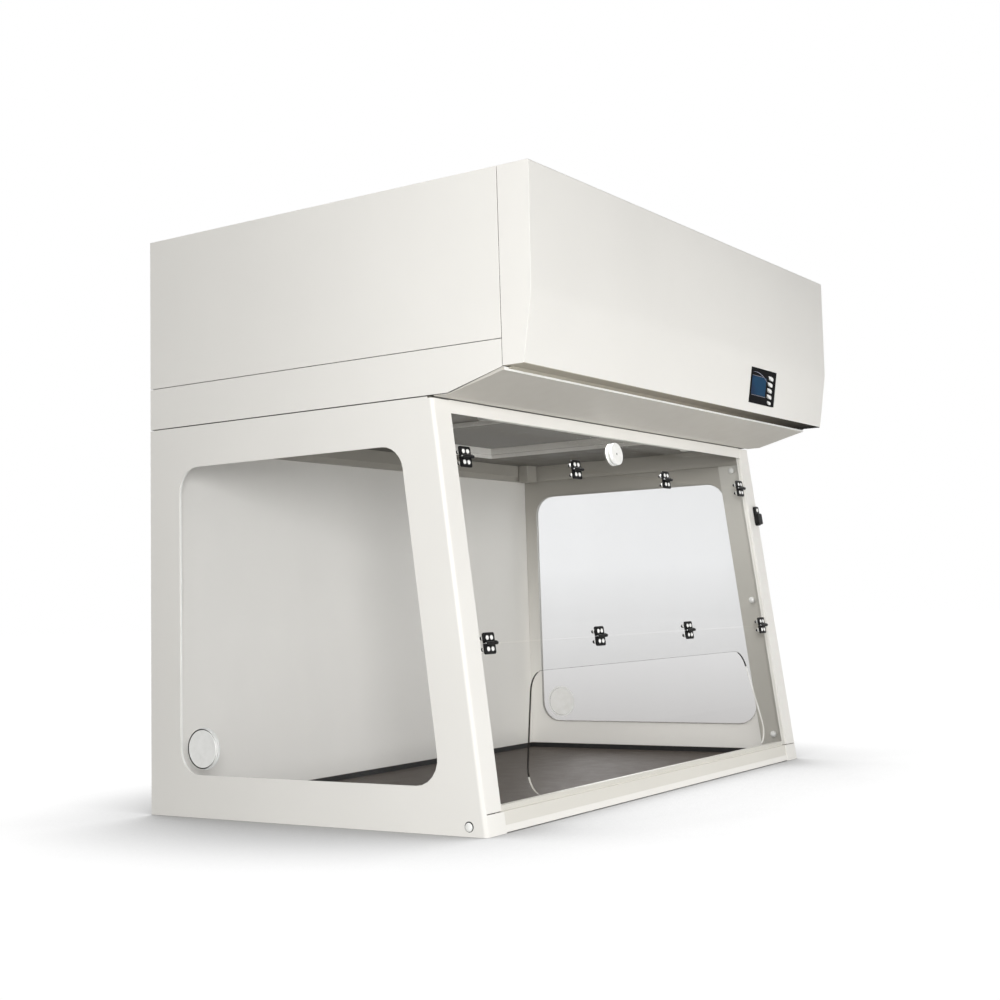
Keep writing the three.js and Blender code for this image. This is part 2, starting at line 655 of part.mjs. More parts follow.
function controlGlass() {
  const { x0, x1, t0, t1 } = PANEL_GLASS;
  const holes = BUTTONS.map((b) => ellipse(b.x, b.t, b.halfWidth + GAP, b.halfHeight + GAP));
  holes.push(rectangle(LCD.x0 - GAP, LCD.x1 + GAP, LCD.t0 - GAP, LCD.t1 + GAP));
  return alongY(rectangle(x0, x1, t0, t1), -0.8, 3, holes);
}

function lcdScreen() {
  return alongY(rectangle(LCD.x0, LCD.x1, LCD.t0, LCD.t1), -0.6, 3);
}

function controlBoard() {
  const { x0, x1, t0, t1 } = PANEL_GLASS;
  const margin = 6;
  return block(x0 - margin, x1 + margin, 4.8, 6.4, t0 - margin, t1 + margin);
}

part(hood, 'fascia_cover', fasciaCover(), PAINT);
part(controls, 'control_glass', controlGlass(), BLACK_GLASS);
part(controls, 'lcd_screen', lcdScreen(), BLUE_LCD);
part(controls, 'control_board', controlBoard(), BOARD);
BUTTONS.forEach((b, i) => {
  const key = alongY(ellipse(b.x, b.t, b.halfWidth, b.halfHeight), -2.2, BUTTON_REAR);
  part(controls, `button_${i + 1}`, key, WHITE_PLASTIC);
});

export default hood;
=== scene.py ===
"""Looks of a ductless fume hood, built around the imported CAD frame.

Sizes are in millimetres where a name or comment says so, and become metres through the MM matrix.
"""
import json
import math

import bmesh
import bpy
from mathutils import Matrix, Vector

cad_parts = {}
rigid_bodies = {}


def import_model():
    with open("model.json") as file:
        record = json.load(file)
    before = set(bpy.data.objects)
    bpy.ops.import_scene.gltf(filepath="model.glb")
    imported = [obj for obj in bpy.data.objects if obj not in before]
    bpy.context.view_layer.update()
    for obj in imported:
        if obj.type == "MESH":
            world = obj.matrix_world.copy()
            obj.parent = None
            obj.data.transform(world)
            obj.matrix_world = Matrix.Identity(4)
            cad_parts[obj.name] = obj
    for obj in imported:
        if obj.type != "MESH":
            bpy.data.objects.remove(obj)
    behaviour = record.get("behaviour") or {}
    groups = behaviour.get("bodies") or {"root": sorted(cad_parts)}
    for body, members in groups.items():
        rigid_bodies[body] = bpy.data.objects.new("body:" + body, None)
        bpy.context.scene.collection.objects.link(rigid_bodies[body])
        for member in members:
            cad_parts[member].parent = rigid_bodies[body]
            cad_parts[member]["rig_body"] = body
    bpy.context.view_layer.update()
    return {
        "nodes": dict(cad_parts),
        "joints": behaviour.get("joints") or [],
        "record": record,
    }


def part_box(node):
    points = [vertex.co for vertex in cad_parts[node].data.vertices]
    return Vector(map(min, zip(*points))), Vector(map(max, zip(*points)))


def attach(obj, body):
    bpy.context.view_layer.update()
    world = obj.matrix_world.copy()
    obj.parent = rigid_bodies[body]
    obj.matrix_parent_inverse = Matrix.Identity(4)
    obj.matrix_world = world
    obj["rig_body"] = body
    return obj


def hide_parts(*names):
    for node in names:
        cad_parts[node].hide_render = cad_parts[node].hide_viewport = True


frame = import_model()

MM = Matrix.Scale(0.001, 4)
NODES = frame["nodes"]
JOINTS = {joint["name"]: joint for joint in frame["joints"]}
SIDES = (("left", -1), ("right", 1))

# ---- places taken from the frame

def box_mm(node):
    """Lowest and highest corner of a CAD node in mm."""
    return [corner * 1000 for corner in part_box(node)]


def local_box(node, place):
    """Lowest and highest corner of a CAD node, in mm, in the frame of a place."""
    into = place.inverted()
    corners = [into @ vertex.co for vertex in NODES[node].data.vertices]
    low = Vector([min(corner[axis] for corner in corners) for axis in range(3)])
    high = Vector([max(corner[axis] for corner in corners) for axis in range(3)])
    return low, high


def across_x(node):
    """Distances in mm from the middle of the hood to a side part's inner and outer face."""
    low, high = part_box(node)
    return sorted((abs(low.x) * 1000, abs(high.x) * 1000))


CATCH_AXIS = JOINTS["sash_catch_turn"]["axis"]
LEAN = math.atan2(-CATCH_AXIS[2], CATCH_AXIS[1])
HINGE_DEPTH = -4.5                      # mm, hinge axes in front of the leaning front plane


def slope_of(joint):
    """Height up the leaning front, in mm, of a hinge line, and the y of the front's foot in metres."""
    _, y, z = JOINTS[joint]["pos_m"]
    height = (z * 1000 + HINGE_DEPTH * math.sin(LEAN)) / math.cos(LEAN)
    foot = y - (HINGE_DEPTH * math.cos(LEAN) + height * math.sin(LEAN)) / 1000
    return height, foot


UPPER_LINE, FOOT_Y = slope_of("upper_sash_swing")
LOWER_LINE, _ = slope_of("lower_sash_fold")
# Local x across, y into the chamber, z up the slope, in mm.
FRONT = Matrix.Translation((0, FOOT_Y, 0)) @ Matrix.Rotation(-LEAN, 4, "X") @ MM
PANE_REAR = local_box("fixed_pane", FRONT)[1].y

BUTTON_AXIS = JOINTS["button_1_press"]["axis"]
TAPER = math.atan2(BUTTON_AXIS[2], BUTTON_AXIS[1])
# Local x across, y into the fascia, z up its tapered face, in mm, from the control glass's lower corner.
CONTROLS = Matrix.Translation(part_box("control_glass")[0]) @ Matrix.Rotation(TAPER, 4, "X") @ MM

# Sizes in mm that the frame doesn't hold as boxes.
PORT_RADIUS = 37.5
WINDOW_LAP = 1.5                        # visible pane beyond the opening in the side panel
CAD_LAP = 25                            # CAD pane beyond the same opening
WINDOW_FRONT = 87                       # opening's edge behind the leaning front
WINDOW_RADIUS = 50
STRIP_FRONT = 22                        # inner strip's edge behind the leaning front
KNOB_HEIGHTS = (60, 400, 738)
KNOB_BEHIND = 48
SHEET = 2.5
FOLD = 0.0009                           # metres, radius of a folded sheet's edge
FLAT_FACE = 0.99                        # share of a unit normal along an axis that counts as square to it


# ---- material helpers

def linear(r, g, b):
    """An 8-bit display colour as linear RGBA."""
    def channel(value):
        value /= 255
        return value / 12.92 if value <= 0.04045 else ((value + 0.055) / 1.055) ** 2.4
    return channel(r), channel(g), channel(b), 1.0


def scaled(colour, factor):
    return tuple(min(1.0, c * factor) for c in colour[:3]) + (1.0,)


class Shader:
    """A small wrapper that keeps node-building code short."""

    def __init__(self, name):
        self.material = bpy.data.materials.new(name)
        self.material.use_nodes = True
        self.tree = self.material.node_tree
        self.tree.nodes.clear()
        self.output = self.tree.nodes.new("ShaderNodeOutputMaterial")
        self.place = self.node("ShaderNodeTexCoord").outputs["Object"]

    def feed(self, socket, value):
        """Links a node's output to a socket, or sets a plain value on it."""
        if isinstance(value, bpy.types.NodeSocket):
            self.tree.links.new(value, socket)
        else:
            socket.default_value = value

    def node(self, kind, **sockets):
        made = self.tree.nodes.new(kind)
        for name, value in sockets.items():
            self.feed(made.inputs[name.replace("_", " ")], value)
        return made

    def stretched(self, x, y, z):
        return self.node("ShaderNodeMapping", Vector=self.place, Scale=(x, y, z)).outputs[0]

    def noise(self, scale, detail=2.0, roughness=0.5, vector=None):
        made = self.node("ShaderNodeTexNoise", Vector=vector or self.place, Scale=scale, Detail=detail,
                         Roughness=roughness)
        return made.outputs["Fac"]

    def cells(self, scale, feature="F1", output="Distance"):
        made = self.node("ShaderNodeTexVoronoi", Vector=self.place, Scale=scale)
        made.feature = feature
        return made.outputs[output]

    def ramp(self, factor, *stops):
        made = self.node("ShaderNodeValToRGB", Fac=factor)
        elements = made.color_ramp.elements
        while len(elements) < len(stops):
            elements.new(0.5)
        for element, (position, colour) in zip(elements, stops):
            element.position = position
            element.color = colour
        return made.outputs["Color"]

    def span(self, value, from_low, from_high, to_low, to_high):
        made = self.node("ShaderNodeMapRange", Value=value, From_Min=from_low, From_Max=from_high,
                         To_Min=to_low, To_Max=to_high)
        return made.outputs[0]

    def maths(self, operation, a, b):
        made = self.tree.nodes.new("ShaderNodeMath")
        made.operation = operation
        for socket, value in zip(made.inputs, (a, b)):
            self.feed(socket, value)
        return made.outputs[0]

    def bump(self, height, strength, distance, normal=None):
        made = self.node("ShaderNodeBump", Height=height, Strength=strength, Distance=distance)
        if normal is not None:
            self.tree.links.new(normal, made.inputs["Normal"])
        return made.outputs["Normal"]

    def mix(self, factor, first, second):
        made = self.tree.nodes.new("ShaderNodeMixShader")
        for socket, value in zip(made.inputs, (factor, first, second)):
            self.feed(socket, value)
        return made.outputs[0]

    def sheen(self, head_on, grazing):
        """Share of light mirrored by a thin clear sheet: little head on, most at a grazing angle."""
        facing = self.node("ShaderNodeLayerWeight", Blend=0.5).outputs["Facing"]
        return self.span(self.maths("POWER", facing, 5.0), 0.0, 1.0, head_on, grazing)

    def along(self, axis, low, high):
        """0 to 1 along one of the object's axes, between two heights in metres."""
        place = self.node("ShaderNodeSeparateXYZ", Vector=self.place).outputs[axis]
        return self.span(place, low, high, 0.0, 1.0)

    def done(self, surface):
        self.tree.links.new(surface, self.output.inputs["Surface"])
        return self.material

    def principled(self, **sockets):
        return self.node("ShaderNodeBsdfPrincipled", **sockets).outputs[0]


def paint(name, colour, roughness=0.42, ceiling=None):
    """Satin powder coat: faint cloudiness, uneven gloss and a fine orange-peel skin.

    A ceiling colour is blended in by height, from 0.2 m to 0.76 m up: painted shade at the top of the
    chamber walls, and a painted lighter top on the glazing strips.
    """
    s = Shader(name)
    tint = linear(*colour)
    tone = s.ramp(s.noise(3.0, 3.0), (0.3, scaled(tint, 0.985)), (0.7, scaled(tint, 1.015)))
    # Blends in the ceiling colour by height: painted shade where it is darker, painted light where it is
    # lighter.
    if ceiling:
        height = s.along("Z", 0.2, 0.76)
        painted_top_tone = linear(*ceiling)
        tone = s.node("ShaderNodeMixRGB", Fac=height, Color1=tone, Color2=painted_top_tone).outputs[0]
    gloss = s.span(s.noise(26.0, 6.0), 0.3, 0.7, roughness - 0.05, roughness + 0.06)
    skin = s.bump(s.noise(900.0, 2.0), 0.10, 0.0002)
    grain = s.bump(s.noise(190.0, 2.0), 0.04, 0.0004, skin)
    return s.done(s.principled(Base_Color=tone, Roughness=gloss, Normal=grain, Specular_IOR_Level=0.45))


def acrylic(name, tint, haze, painted_shade_tint=None):
    """Clear sheet: see-through, with a Fresnel reflection and a trace of wiping marks.

    A foot tint darkens the sheet towards the worktop, from 0.5 m down to 0.06 m: painted shade.
    """
    s = Shader(name)
    wipe = s.noise(5.0, 4.0, 0.6, s.stretched(1, 1, 0.35))
    clear = s.node("ShaderNodeBsdfTransparent", Color=tint)
    if painted_shade_tint:
        fade = s.ramp(s.along("Z", 0.06, 0.5), (0.0, painted_shade_tint), (1.0, tint))
        s.tree.links.new(fade, clear.inputs["Color"])
    mirror = s.node("ShaderNodeBsdfGlossy", Color=(1, 1, 1, 1), Roughness=0.03).outputs[0]
    veil = s.node("ShaderNodeBsdfDiffuse", Color=(0.8, 0.8, 0.8, 1)).outputs[0]
    marked = s.mix(s.span(wipe, 0.45, 0.8, 0.0, haze), clear.outputs[0], veil)
    return s.done(s.mix(s.sheen(0.012, 0.6), marked, mirror))


def acrylic_edge(name, dark, light, low, high):
    """Edge of a clear sheet with painted reflections: its tone runs in long dark and light streaks, and low
    and high say how solid it looks.
    """
    s = Shader(name)
    streak = s.noise(9.0, 3.0)
    tone = s.ramp(streak, (0.42, linear(*dark)), (0.6, linear(*light)))
    edge = s.principled(Base_Color=tone, Roughness=0.2, Specular_IOR_Level=0.4)
    clear = s.node("ShaderNodeBsdfTransparent", Color=(0.97, 0.97, 0.96, 1)).outputs[0]
    return s.done(s.mix(s.span(streak, 0.4, 0.65, low, high), clear, edge))


def phenolic(name):
    """Dark laminate: fine mineral speckle and a slightly uneven semi-gloss."""
    s = Shader(name)
    speckle = s.noise(1600.0, 3.0, 0.6)
    base = s.ramp(speckle, (0.3, linear(82, 76, 71)), (0.55, linear(95, 88, 82)),
                  (0.72, linear(116, 108, 101)))
    rough = s.span(s.noise(30.0, 4.0), 0.3, 0.7, 0.5, 0.58)
    grain = s.bump(s.noise(900.0, 2.0), 0.05, 0.0002)
    return s.done(s.principled(Base_Color=base, Roughness=rough, Normal=grain, Specular_IOR_Level=0.06))


def moulded(name, dark, light, roughness, grain_scale=1500.0, strength=0.15, specular=0.5):
    """Moulded plastic with a spark-eroded texture."""
    s = Shader(name)
    tone = s.ramp(s.noise(60.0, 3.0), (0.3, linear(*dark)), (0.7, linear(*light)))
    rough = s.span(s.noise(120.0, 3.0), 0.3, 0.7, roughness - 0.06, roughness + 0.06)
    grain = s.bump(s.noise(grain_scale, 2.0), strength, 0.0001)
    return s.done(s.principled(Base_Color=tone, Roughness=rough, Normal=grain, Specular_IOR_Level=specular))


def printed_glass(name):
    """Gloss black panel with a faint print under it."""
    s = Shader(name)
    tone = s.ramp(s.noise(45.0, 2.0), (0.35, linear(4, 4, 6)), (0.7, linear(10, 10, 14)))
    rough = s.span(s.noise(70.0, 4.0), 0.35, 0.7, 0.08, 0.16)
    return s.done(s.principled(Base_Color=tone, Roughness=rough, Specular_IOR_Level=0.12))


def display(name):
    """Blue liquid-crystal screen with its pixel rows, faintly lit from behind."""
    s = Shader(name)
    rows = s.node("ShaderNodeTexWave", Vector=s.place, Scale=420.0)
    rows.wave_type = "BANDS"
    rows.bands_direction = "Z"
    glow = s.ramp(s.noise(22.0, 2.0), (0.35, linear(24, 42, 74)), (0.6, linear(12, 70, 104)))
    mixed = s.node("ShaderNodeMixRGB", Fac=rows.outputs["Fac"], Color1=glow, Color2=linear(12, 52, 82))
    return s.done(s.principled(Base_Color=mixed.outputs[0], Roughness=0.16, Specular_IOR_Level=0.2))


def shadow_return(name):
    """Return under the fascia, white paint coloured as painted shade: dull grey at the left end, nearly
    black at the right end.
    """
    s = Shader(name)
    stops = ((0.0, linear(196, 190, 176)), (0.5, linear(152, 145, 132)), (0.82, linear(84, 79, 70)),
             (1.0, linear(6, 6, 6)))
    fade = s.ramp(s.along("X", -0.7, 0.7), *stops)
    rough = s.span(s.noise(80.0, 3.0), 0.3, 0.7, 0.8, 0.95)
    return s.done(s.principled(Base_Color=fade, Roughness=rough, Specular_IOR_Level=0.1))


def metal(name, dark, light, roughness, spangle):
    """Bare sheet or turned metal; spangle is the size of its crystals per metre."""
    s = Shader(name)
    crystals = s.cells(spangle, output="Color")
    tone = s.ramp(crystals, (0.2, linear(*dark)), (0.8, linear(*light)))
    rough = s.span(s.noise(90.0, 4.0), 0.3, 0.7, roughness - 0.08, roughness + 0.1)
    return s.done(s.principled(Base_Color=tone, Metallic=1.0, Roughness=rough))


def fibre(name):
    """Needled filter pad: crossing fibres and soft hollows."""
    s = Shader(name)
    strands = s.noise(700.0, 5.0, 0.8, s.stretched(0.25, 1, 1))
    across = s.noise(700.0, 5.0, 0.8, s.stretched(1, 0.25, 1))
    woven = s.maths("ADD", strands, across)
    tone = s.ramp(s.span(woven, 0.7, 1.3, 0, 1), (0.2, linear(88, 85, 79)), (0.8, linear(132, 128, 120)))
    bumped = s.bump(woven, 0.6, 0.001)
    return s.done(s.principled(Base_Color=tone, Roughness=0.95, Normal=bumped, Sheen_Weight=0.2))


def perforated(name):
    """Grey filter case with a pattern of small round holes."""
    s = Shader(name)
    holes = s.node("ShaderNodeTexVoronoi", Vector=s.place, Scale=160.0, Randomness=0.0).outputs["Distance"]
    tone = s.ramp(holes, (0.28, linear(34, 34, 34)), (0.34, linear(146, 148, 148)))
    bumped = s.bump(s.span(holes, 0.26, 0.34, 0, 1), 0.5, 0.0008)
    return s.done(s.principled(Base_Color=tone, Roughness=0.55, Normal=bumped))


WHITE = (237, 235, 230)
MATERIALS = {
    "white_paint": paint("white_powder_coat", WHITE),
    # White coat darkened as painted shade, for the down-facing underside panel.
    "shaded_paint": paint("painted_shade_white_coat", (207, 203, 195)),
    # Dark coat for the chamber's down-facing ceiling: painted shade.
    "painted_shade_ceiling": paint("painted_shade_ceiling_coat", (96, 92, 85)),
    # Grey coat for the upper channels and gussets: painted shade.
    "painted_shade_header": paint("painted_shade_header_coat", (166, 162, 153)),
    # White coat with painted shade, darker towards the top of the chamber walls.
    "painted_shade_chamber_side": paint("painted_shade_chamber_side_coat", WHITE, 0.42, (170, 166, 157)),
    # Glazing strip coat: darker than the white panels as painted shade, with a painted lighter top.
    "painted_shade_strip": paint("painted_shade_strip_coat", (188, 185, 177), 0.42, (206, 204, 197)),
    "sill_paint": paint("cream_powder_coat", (222, 219, 211), 0.36),
    "acrylic": acrylic("clear_acrylic", (0.995, 0.996, 0.995, 1), 0.006),
    "window": acrylic("window_acrylic", (0.965, 0.967, 0.97, 1), 0.02),
    # Right window's chamber face: clear acrylic with painted shade towards the worktop.
    "shaded_window": acrylic("painted_shade_window_acrylic", (0.93, 0.934, 0.94, 1), 0.02, (0.56, 0.548, 0.54, 1)),
    # Edges of the clear sheets: their dark and light tones are painted reflections and painted highlights.
    "pane_edge": acrylic_edge("clear_edge_painted_reflection", (120, 112, 98), (176, 172, 162), 0.0, 0.08),
    "painted_reflection_dark": acrylic_edge("cut_edge_painted_dark_reflection", (10, 8, 6), (34, 30, 25), 0.9, 0.96),
    "painted_highlight_bright": acrylic_edge("cut_edge_painted_highlight", (226, 224, 216), (252, 252, 250), 0.7, 0.92),
    "phenolic": phenolic("dark_phenolic"),
    # Fascia return: painted shade, darkening from the left end to the right end.
    "return": shadow_return("painted_shade_fascia_return"),
    # Black for painted shadows: the ring round the port lids, the ring round the corner caps and the
    # screws' cross recesses.
    "gap": moulded("black_painted_shadow", (6, 6, 6), (14, 14, 13), 0.9),
    "nylon": moulded("black_nylon", (6, 6, 7), (16, 16, 17), 0.42, specular=0.25),
    "rubber": moulded("black_rubber", (16, 16, 16), (30, 30, 30), 0.7),
    "white_plastic": moulded("white_plastic", (240, 240, 237), (250, 250, 248), 0.34),
    "diffuser": moulded("lamp_diffuser", (232, 232, 226), (246, 246, 240), 0.5, 300.0, 0.4),
    "black_glass": printed_glass("black_printed_glass"),
    "lcd": display("blue_display"),
    "print": moulded("pale_print", (120, 122, 140), (168, 170, 184), 0.4),
    "galvanised": metal("galvanised_steel", (150, 153, 155), (196, 199, 201), 0.42, 90.0),
    "brass": metal("brass_pins", (196, 170, 104), (222, 200, 142), 0.3, 900.0),
    "zinc": metal("zinc_plated_steel", (176, 178, 180), (208, 210, 212), 0.28, 600.0),
    "enamel": moulded("black_enamel", (30, 31, 33), (46, 47, 50), 0.4, 400.0),
    "filter_pad": fibre("filter_pad"),
    "filter_case": perforated("perforated_case"),
    "foam": moulded("gasket_foam", (24, 24, 24), (46, 46, 46), 0.9, 800.0, 0.8),
    "board": moulded("circuit_board", (22, 74, 42), (34, 98, 58), 0.35, 300.0, 0.3),
}


# ---- mesh helpers

def rounded(corners, steps=6):
    """Closed outline from (x, y, radius) corners, each corner with a radius turned into an arc."""
    points = []
    for i, (x, y, radius) in enumerate(corners):
        here = Vector((x, y))
        if radius == 0:
            points.append((x, y))
            continue
        before = (Vector(corners[i - 1][:2]) - here).normalized()
        after = (Vector(corners[(i + 1) % len(corners)][:2]) - here).normalized()
        half = before.angle(after) / 2
        centre = here + (before + after).normalized() * (radius / math.sin(half))
        start = here + before * (radius / math.tan(half)) - centre
        end = here + after * (radius / math.tan(half)) - centre
        turn = math.atan2(start.x * end.y - start.y * end.x, start.dot(end))
        for k in range(steps + 1):
            a = turn * k / steps
            points.append((centre.x + start.x * math.cos(a) - start.y * math.sin(a),
                           centre.y + start.x * math.sin(a) + start.y * math.cos(a)))
    return points


def rectangle(x0, x1, y0, y1, radius=0.0, steps=6):
    return rounded([(x0, y0, radius), (x1, y0, radius), (x1, y1, radius), (x0, y1, radius)], steps)


def bridge(bm, first, second):
    """Quads between two closed loops of as many vertices each."""
    count = len(first)
    return [bm.faces.new((first[i], first[(i + 1) % count], second[(i + 1) % count], second[i]))
            for i in range(count)]


def coated(faces, slot):
    for face in faces:
        face.material_index = slot
    return faces


def add_prism(bm, outline, low, high, matrix, slot=0):
    """Closed prism: the outline in local x and y, from z = low to z = high."""
    rings = [[bm.verts.new(matrix @ Vector((u, v, level))) for u, v in outline] for level in (low, high)]
    ends = [bm.faces.new(rings[0][::-1]), bm.faces.new(rings[1])]
    return coated(ends + bridge(bm, *rings), slot)


def add_box(bm, x0, x1, y0, y1, z0, z1, matrix, slot=0):
    return add_prism(bm, [(x0, y0), (x1, y0), (x1, y1), (x0, y1)], z0, z1, matrix, slot)


def add_lathe(bm, profile, matrix, steps=48, slot=0):
    """Solid of revolution about local z from (radius, height) points; radius 0 makes a pole."""
    rings = []
    for radius, height in profile:
        if radius == 0:
            rings.append([bm.verts.new(matrix @ Vector((0, 0, height)))])
            continue
        rings.append([
            bm.verts.new(matrix @ Vector((radius * math.cos(a), radius * math.sin(a), height)))
            for a in (2 * math.pi * k / steps for k in range(steps))
        ])
    closed = profile[0][0] != 0
    pairs = list(zip(rings, rings[1:])) + ([(rings[-1], rings[0])] if closed else [])
    faces = []
    for lower, upper in pairs:
        for k in range(steps):
            n = (k + 1) % steps
            if len(lower) == 1:
                faces.append(bm.faces.new((lower[0], upper[k], upper[n])))
            elif len(upper) == 1:
                faces.append(bm.faces.new((lower[k], lower[n], upper[0])))
            else:
                faces.append(bm.faces.new((lower[k], lower[n], upper[n], upper[k])))
    return coated(faces, slot)


def circle(radius, steps=64, x=0.0, y=0.0):
    return [(x + radius * math.cos(a), y + radius * math.sin(a))
            for a in (2 * math.pi * k / steps for k in range(steps))]


def add_frame(bm, outer, inner, low, high, matrix, slot=0):
    """Closed band between two outlines with as many points each, from z = low to z = high."""
    loops = [[bm.verts.new(matrix @ Vector((u, v, z))) for u, v in outline]
             for outline, z in ((outer, low), (outer, high), (inner, high), (inner, low))]
    faces = []
    for first, second in zip(loops, loops[1:] + loops[:1]):
        faces += bridge(bm, first, second)
    return coated(faces, slot)


def add_dome(bm, outline, base, wall, crown, matrix, rings=6, slot=0):
    """Cap with a straight wall and a domed top, over any outline round the local origin."""
    levels = [(1.0, base), (1.0, wall)]
    for k in range(1, rings):
        a = math.pi / 2 * k / rings
        levels.append((math.cos(a) ** 0.6, wall + crown * math.sin(a)))
    loops = [[bm.verts.new(matrix @ Vector((u * f, v * f, z))) for u, v in outline] for f, z in levels]
    top = bm.verts.new(matrix @ Vector((0, 0, wall + crown)))
    faces = [bm.faces.new(loops[0][::-1])]
    for lower, upper in zip(loops, loops[1:]):
        faces += bridge(bm, lower, upper)
    rim = loops[-1]
    for i, corner in enumerate(rim):
        faces.append(bm.faces.new((corner, rim[(i + 1) % len(rim)], top)))
    return coated(faces, slot)


def bevel(bm, width, segments=2, angle=28.0, faces=None):
    """Rounds the sharp edges of some faces, or of all of them."""
    chosen = {edge for face in (faces or bm.faces) for edge in face.edges}
    sharp = [e for e in chosen if len(e.link_faces) == 2 and e.calc_face_angle(0) > math.radians(angle)]
    bmesh.ops.bevel(bm, geom=sharp, offset=width, segments=segments, profile=0.5, affect="EDGES",
                    clamp_overlap=True)


def finish_piece(name, bm, materials, body, slot, replaced=(), smooth=32.0):
    """Turns a bmesh into a named piece that rides on a body."""
    bmesh.ops.recalc_face_normals(bm, faces=bm.faces)
    mesh = bpy.data.meshes.new(name)
    bm.to_mesh(mesh)
    bm.free()
    for key in materials:
        mesh.materials.append(MATERIALS[key])
    mesh.polygons.foreach_set("use_smooth", [True] * len(mesh.polygons))
    mesh.set_sharp_from_angle(angle=math.radians(smooth))
    piece = bpy.data.objects.new(name, mesh)
    bpy.context.scene.collection.objects.link(piece)
    weighted = piece.modifiers.new("weighted_normals", "WEIGHTED_NORMAL")
    weighted.keep_sharp = True
    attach(piece, body)
    if replaced:
        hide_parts(*replaced)


def body_of(node):
    return NODES[node]["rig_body"]


def slot_of(node):
    return next(row["material_slot"] for row in frame["record"]["subparts"] if row["node"] == node)


def rebuild(node, ending, bm, materials, **more):
    """Finishes the piece that takes a CAD node's place, on the same body."""
    finish_piece(f"{node}_{ending}", bm, materials, body_of(node), slot_of(node), [node], **more)


def node_shape(node):
    """The CAD solid's own shape with its flat faces whole again."""
    source = NODES[node].data
    bm = bmesh.new()
    corners = [bm.verts.new(v.co) for v in source.vertices]
    for polygon in source.polygons:
        bm.faces.new([corners[i] for i in polygon.vertices])
    bmesh.ops.remove_doubles(bm, verts=bm.verts, dist=1e-5)
    bmesh.ops.dissolve_limit(bm, angle_limit=math.radians(0.5), verts=bm.verts, edges=bm.edges)
    return bm


def soften(node, material, width, segments=2, other=None, pick=None):
    """The CAD solid with its edges rounded by width metres; pick() chooses faces of the other material."""
    bm = node_shape(node)
    bevel(bm, width, segments)
    if pick:
        bm.normal_update()
        for face in bm.faces:
            face.material_index = int(pick(face.normal, face.calc_center_median()))
    materials = [material, other] if other else [material]
    rebuild(node, "skin", bm, materials)


# ---- sheet metal

SHEET_PARTS = (
    ("back_panel", "white_paint"),
    ("base_plate", "white_paint"),
    ("front_rail", "white_paint"),
    ("top_cover", "white_paint"),
    ("housing_back", "white_paint"),
    ("housing_side_left", "white_paint"),
    ("housing_side_right", "white_paint"),
    ("fan_plate", "galvanised"),
    ("motor_beam", "galvanised"),
)
for node, material in SHEET_PARTS:
    soften(node, material, FOLD)


# The functions below choose the faces of a part that take its second material; sizes are in metres.
SILL_HEM_TOP = 0.0142
WORKTOP_RIM_FOOT = 0.0101
RETURN_DEPTH = 0.004
LIP_DEPTH = 0.008
CHAMBER_HALF = 0.69


# Painted highlight: the sill's flared hem takes the white paint, lighter than the cream face, where it
# catches the light.
def painted_highlight_sill_hem(normal, centre):
    return normal.y < -0.5 and centre.z < SILL_HEM_TOP


def ceiling_side(normal, centre):
    return normal.z < -0.5


def lower_return(normal, centre):
    return normal.z < -0.7 and centre.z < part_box("fascia_cover")[0].z + RETURN_DEPTH


def chamber_side(normal, centre):
    facing_in = normal.x * centre.x < -0.5 * abs(centre.x)
    return facing_in and abs(centre.x) > CHAMBER_HALF


def inner_rim(normal, centre):
    return abs(normal.z) < 0.5 and centre.z > WORKTOP_RIM_FOOT


def front_lip(normal, centre):
    return normal.y < -0.6 and centre.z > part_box("underside_panel")[1].z - LIP_DEPTH


# The side panels' chamber faces take the white coat with painted shade towards the top.
for label, _ in SIDES:
    soften(f"side_panel_{label}", "white_paint", FOLD, 2, "painted_shade_chamber_side", chamber_side)
# The sill's hem is painted lighter than its face, a painted highlight.
soften("front_sill", "sill_paint", FOLD, 2, "white_paint", painted_highlight_sill_hem)
# The filter deck's down-facing faces take the dark coat of painted shade.
soften("filter_deck", "white_paint", FOLD, 2, "painted_shade_ceiling", ceiling_side)
# The fascia's lower return takes the painted shade that darkens from left to right.
soften("fascia_cover", "white_paint", FOLD, 2, "return", lower_return)
# The underside panel takes the coat of painted shade; its forward-facing lip keeps a bright white.
soften("underside_panel", "shaded_paint", FOLD, 2, "white_plastic", front_lip)
soften("worktop", "phenolic", 0.0014, 3, "rubber", inner_rim)
soften("prefilter", "filter_pad", 0.004, 3)
soften("filter_gasket", "foam", 0.0012, 2)
soften("carbon_filter", "filter_case", 0.003, 2)
soften("impeller", "galvanised", 0.0004, 1)
soften("motor", "enamel", 0.0012, 2)
soften("power_inlet", "nylon", 0.0006, 2)
soften("control_board", "board", 0.0002, 1)


# ---- clear panes

# The arm opening's edge, in mm up the leaning front: the reach of its sides, and the height at which its
# edge turns from a painted highlight (bright) to a painted dark reflection on the left and on the right.
OPENING_HALF = 600
OPENING_FOOT, OPENING_HEAD = 45, 300
DARK_ABOVE_LEFT, DARK_ABOVE_RIGHT = 92, 232


def pane_slot(place, normal):
    """Material slot of a front sheet's face, from its place and normal in the leaning frame."""
    face, outer_edge, dark, bright = 0, 1, 2, 3
    if abs(normal.y) > FLAT_FACE:
        return face
    in_opening = abs(place.x) < OPENING_HALF and OPENING_FOOT < place.z < OPENING_HEAD
    if not in_opening or abs(normal.z) > 0.93:
        return outer_edge
    # Above these heights the opening's edge is a painted dark reflection, below them a painted highlight.
    dark_above = DARK_ABOVE_LEFT if place.x < 0 else DARK_ABOVE_RIGHT
    return dark if place.z > dark_above else bright


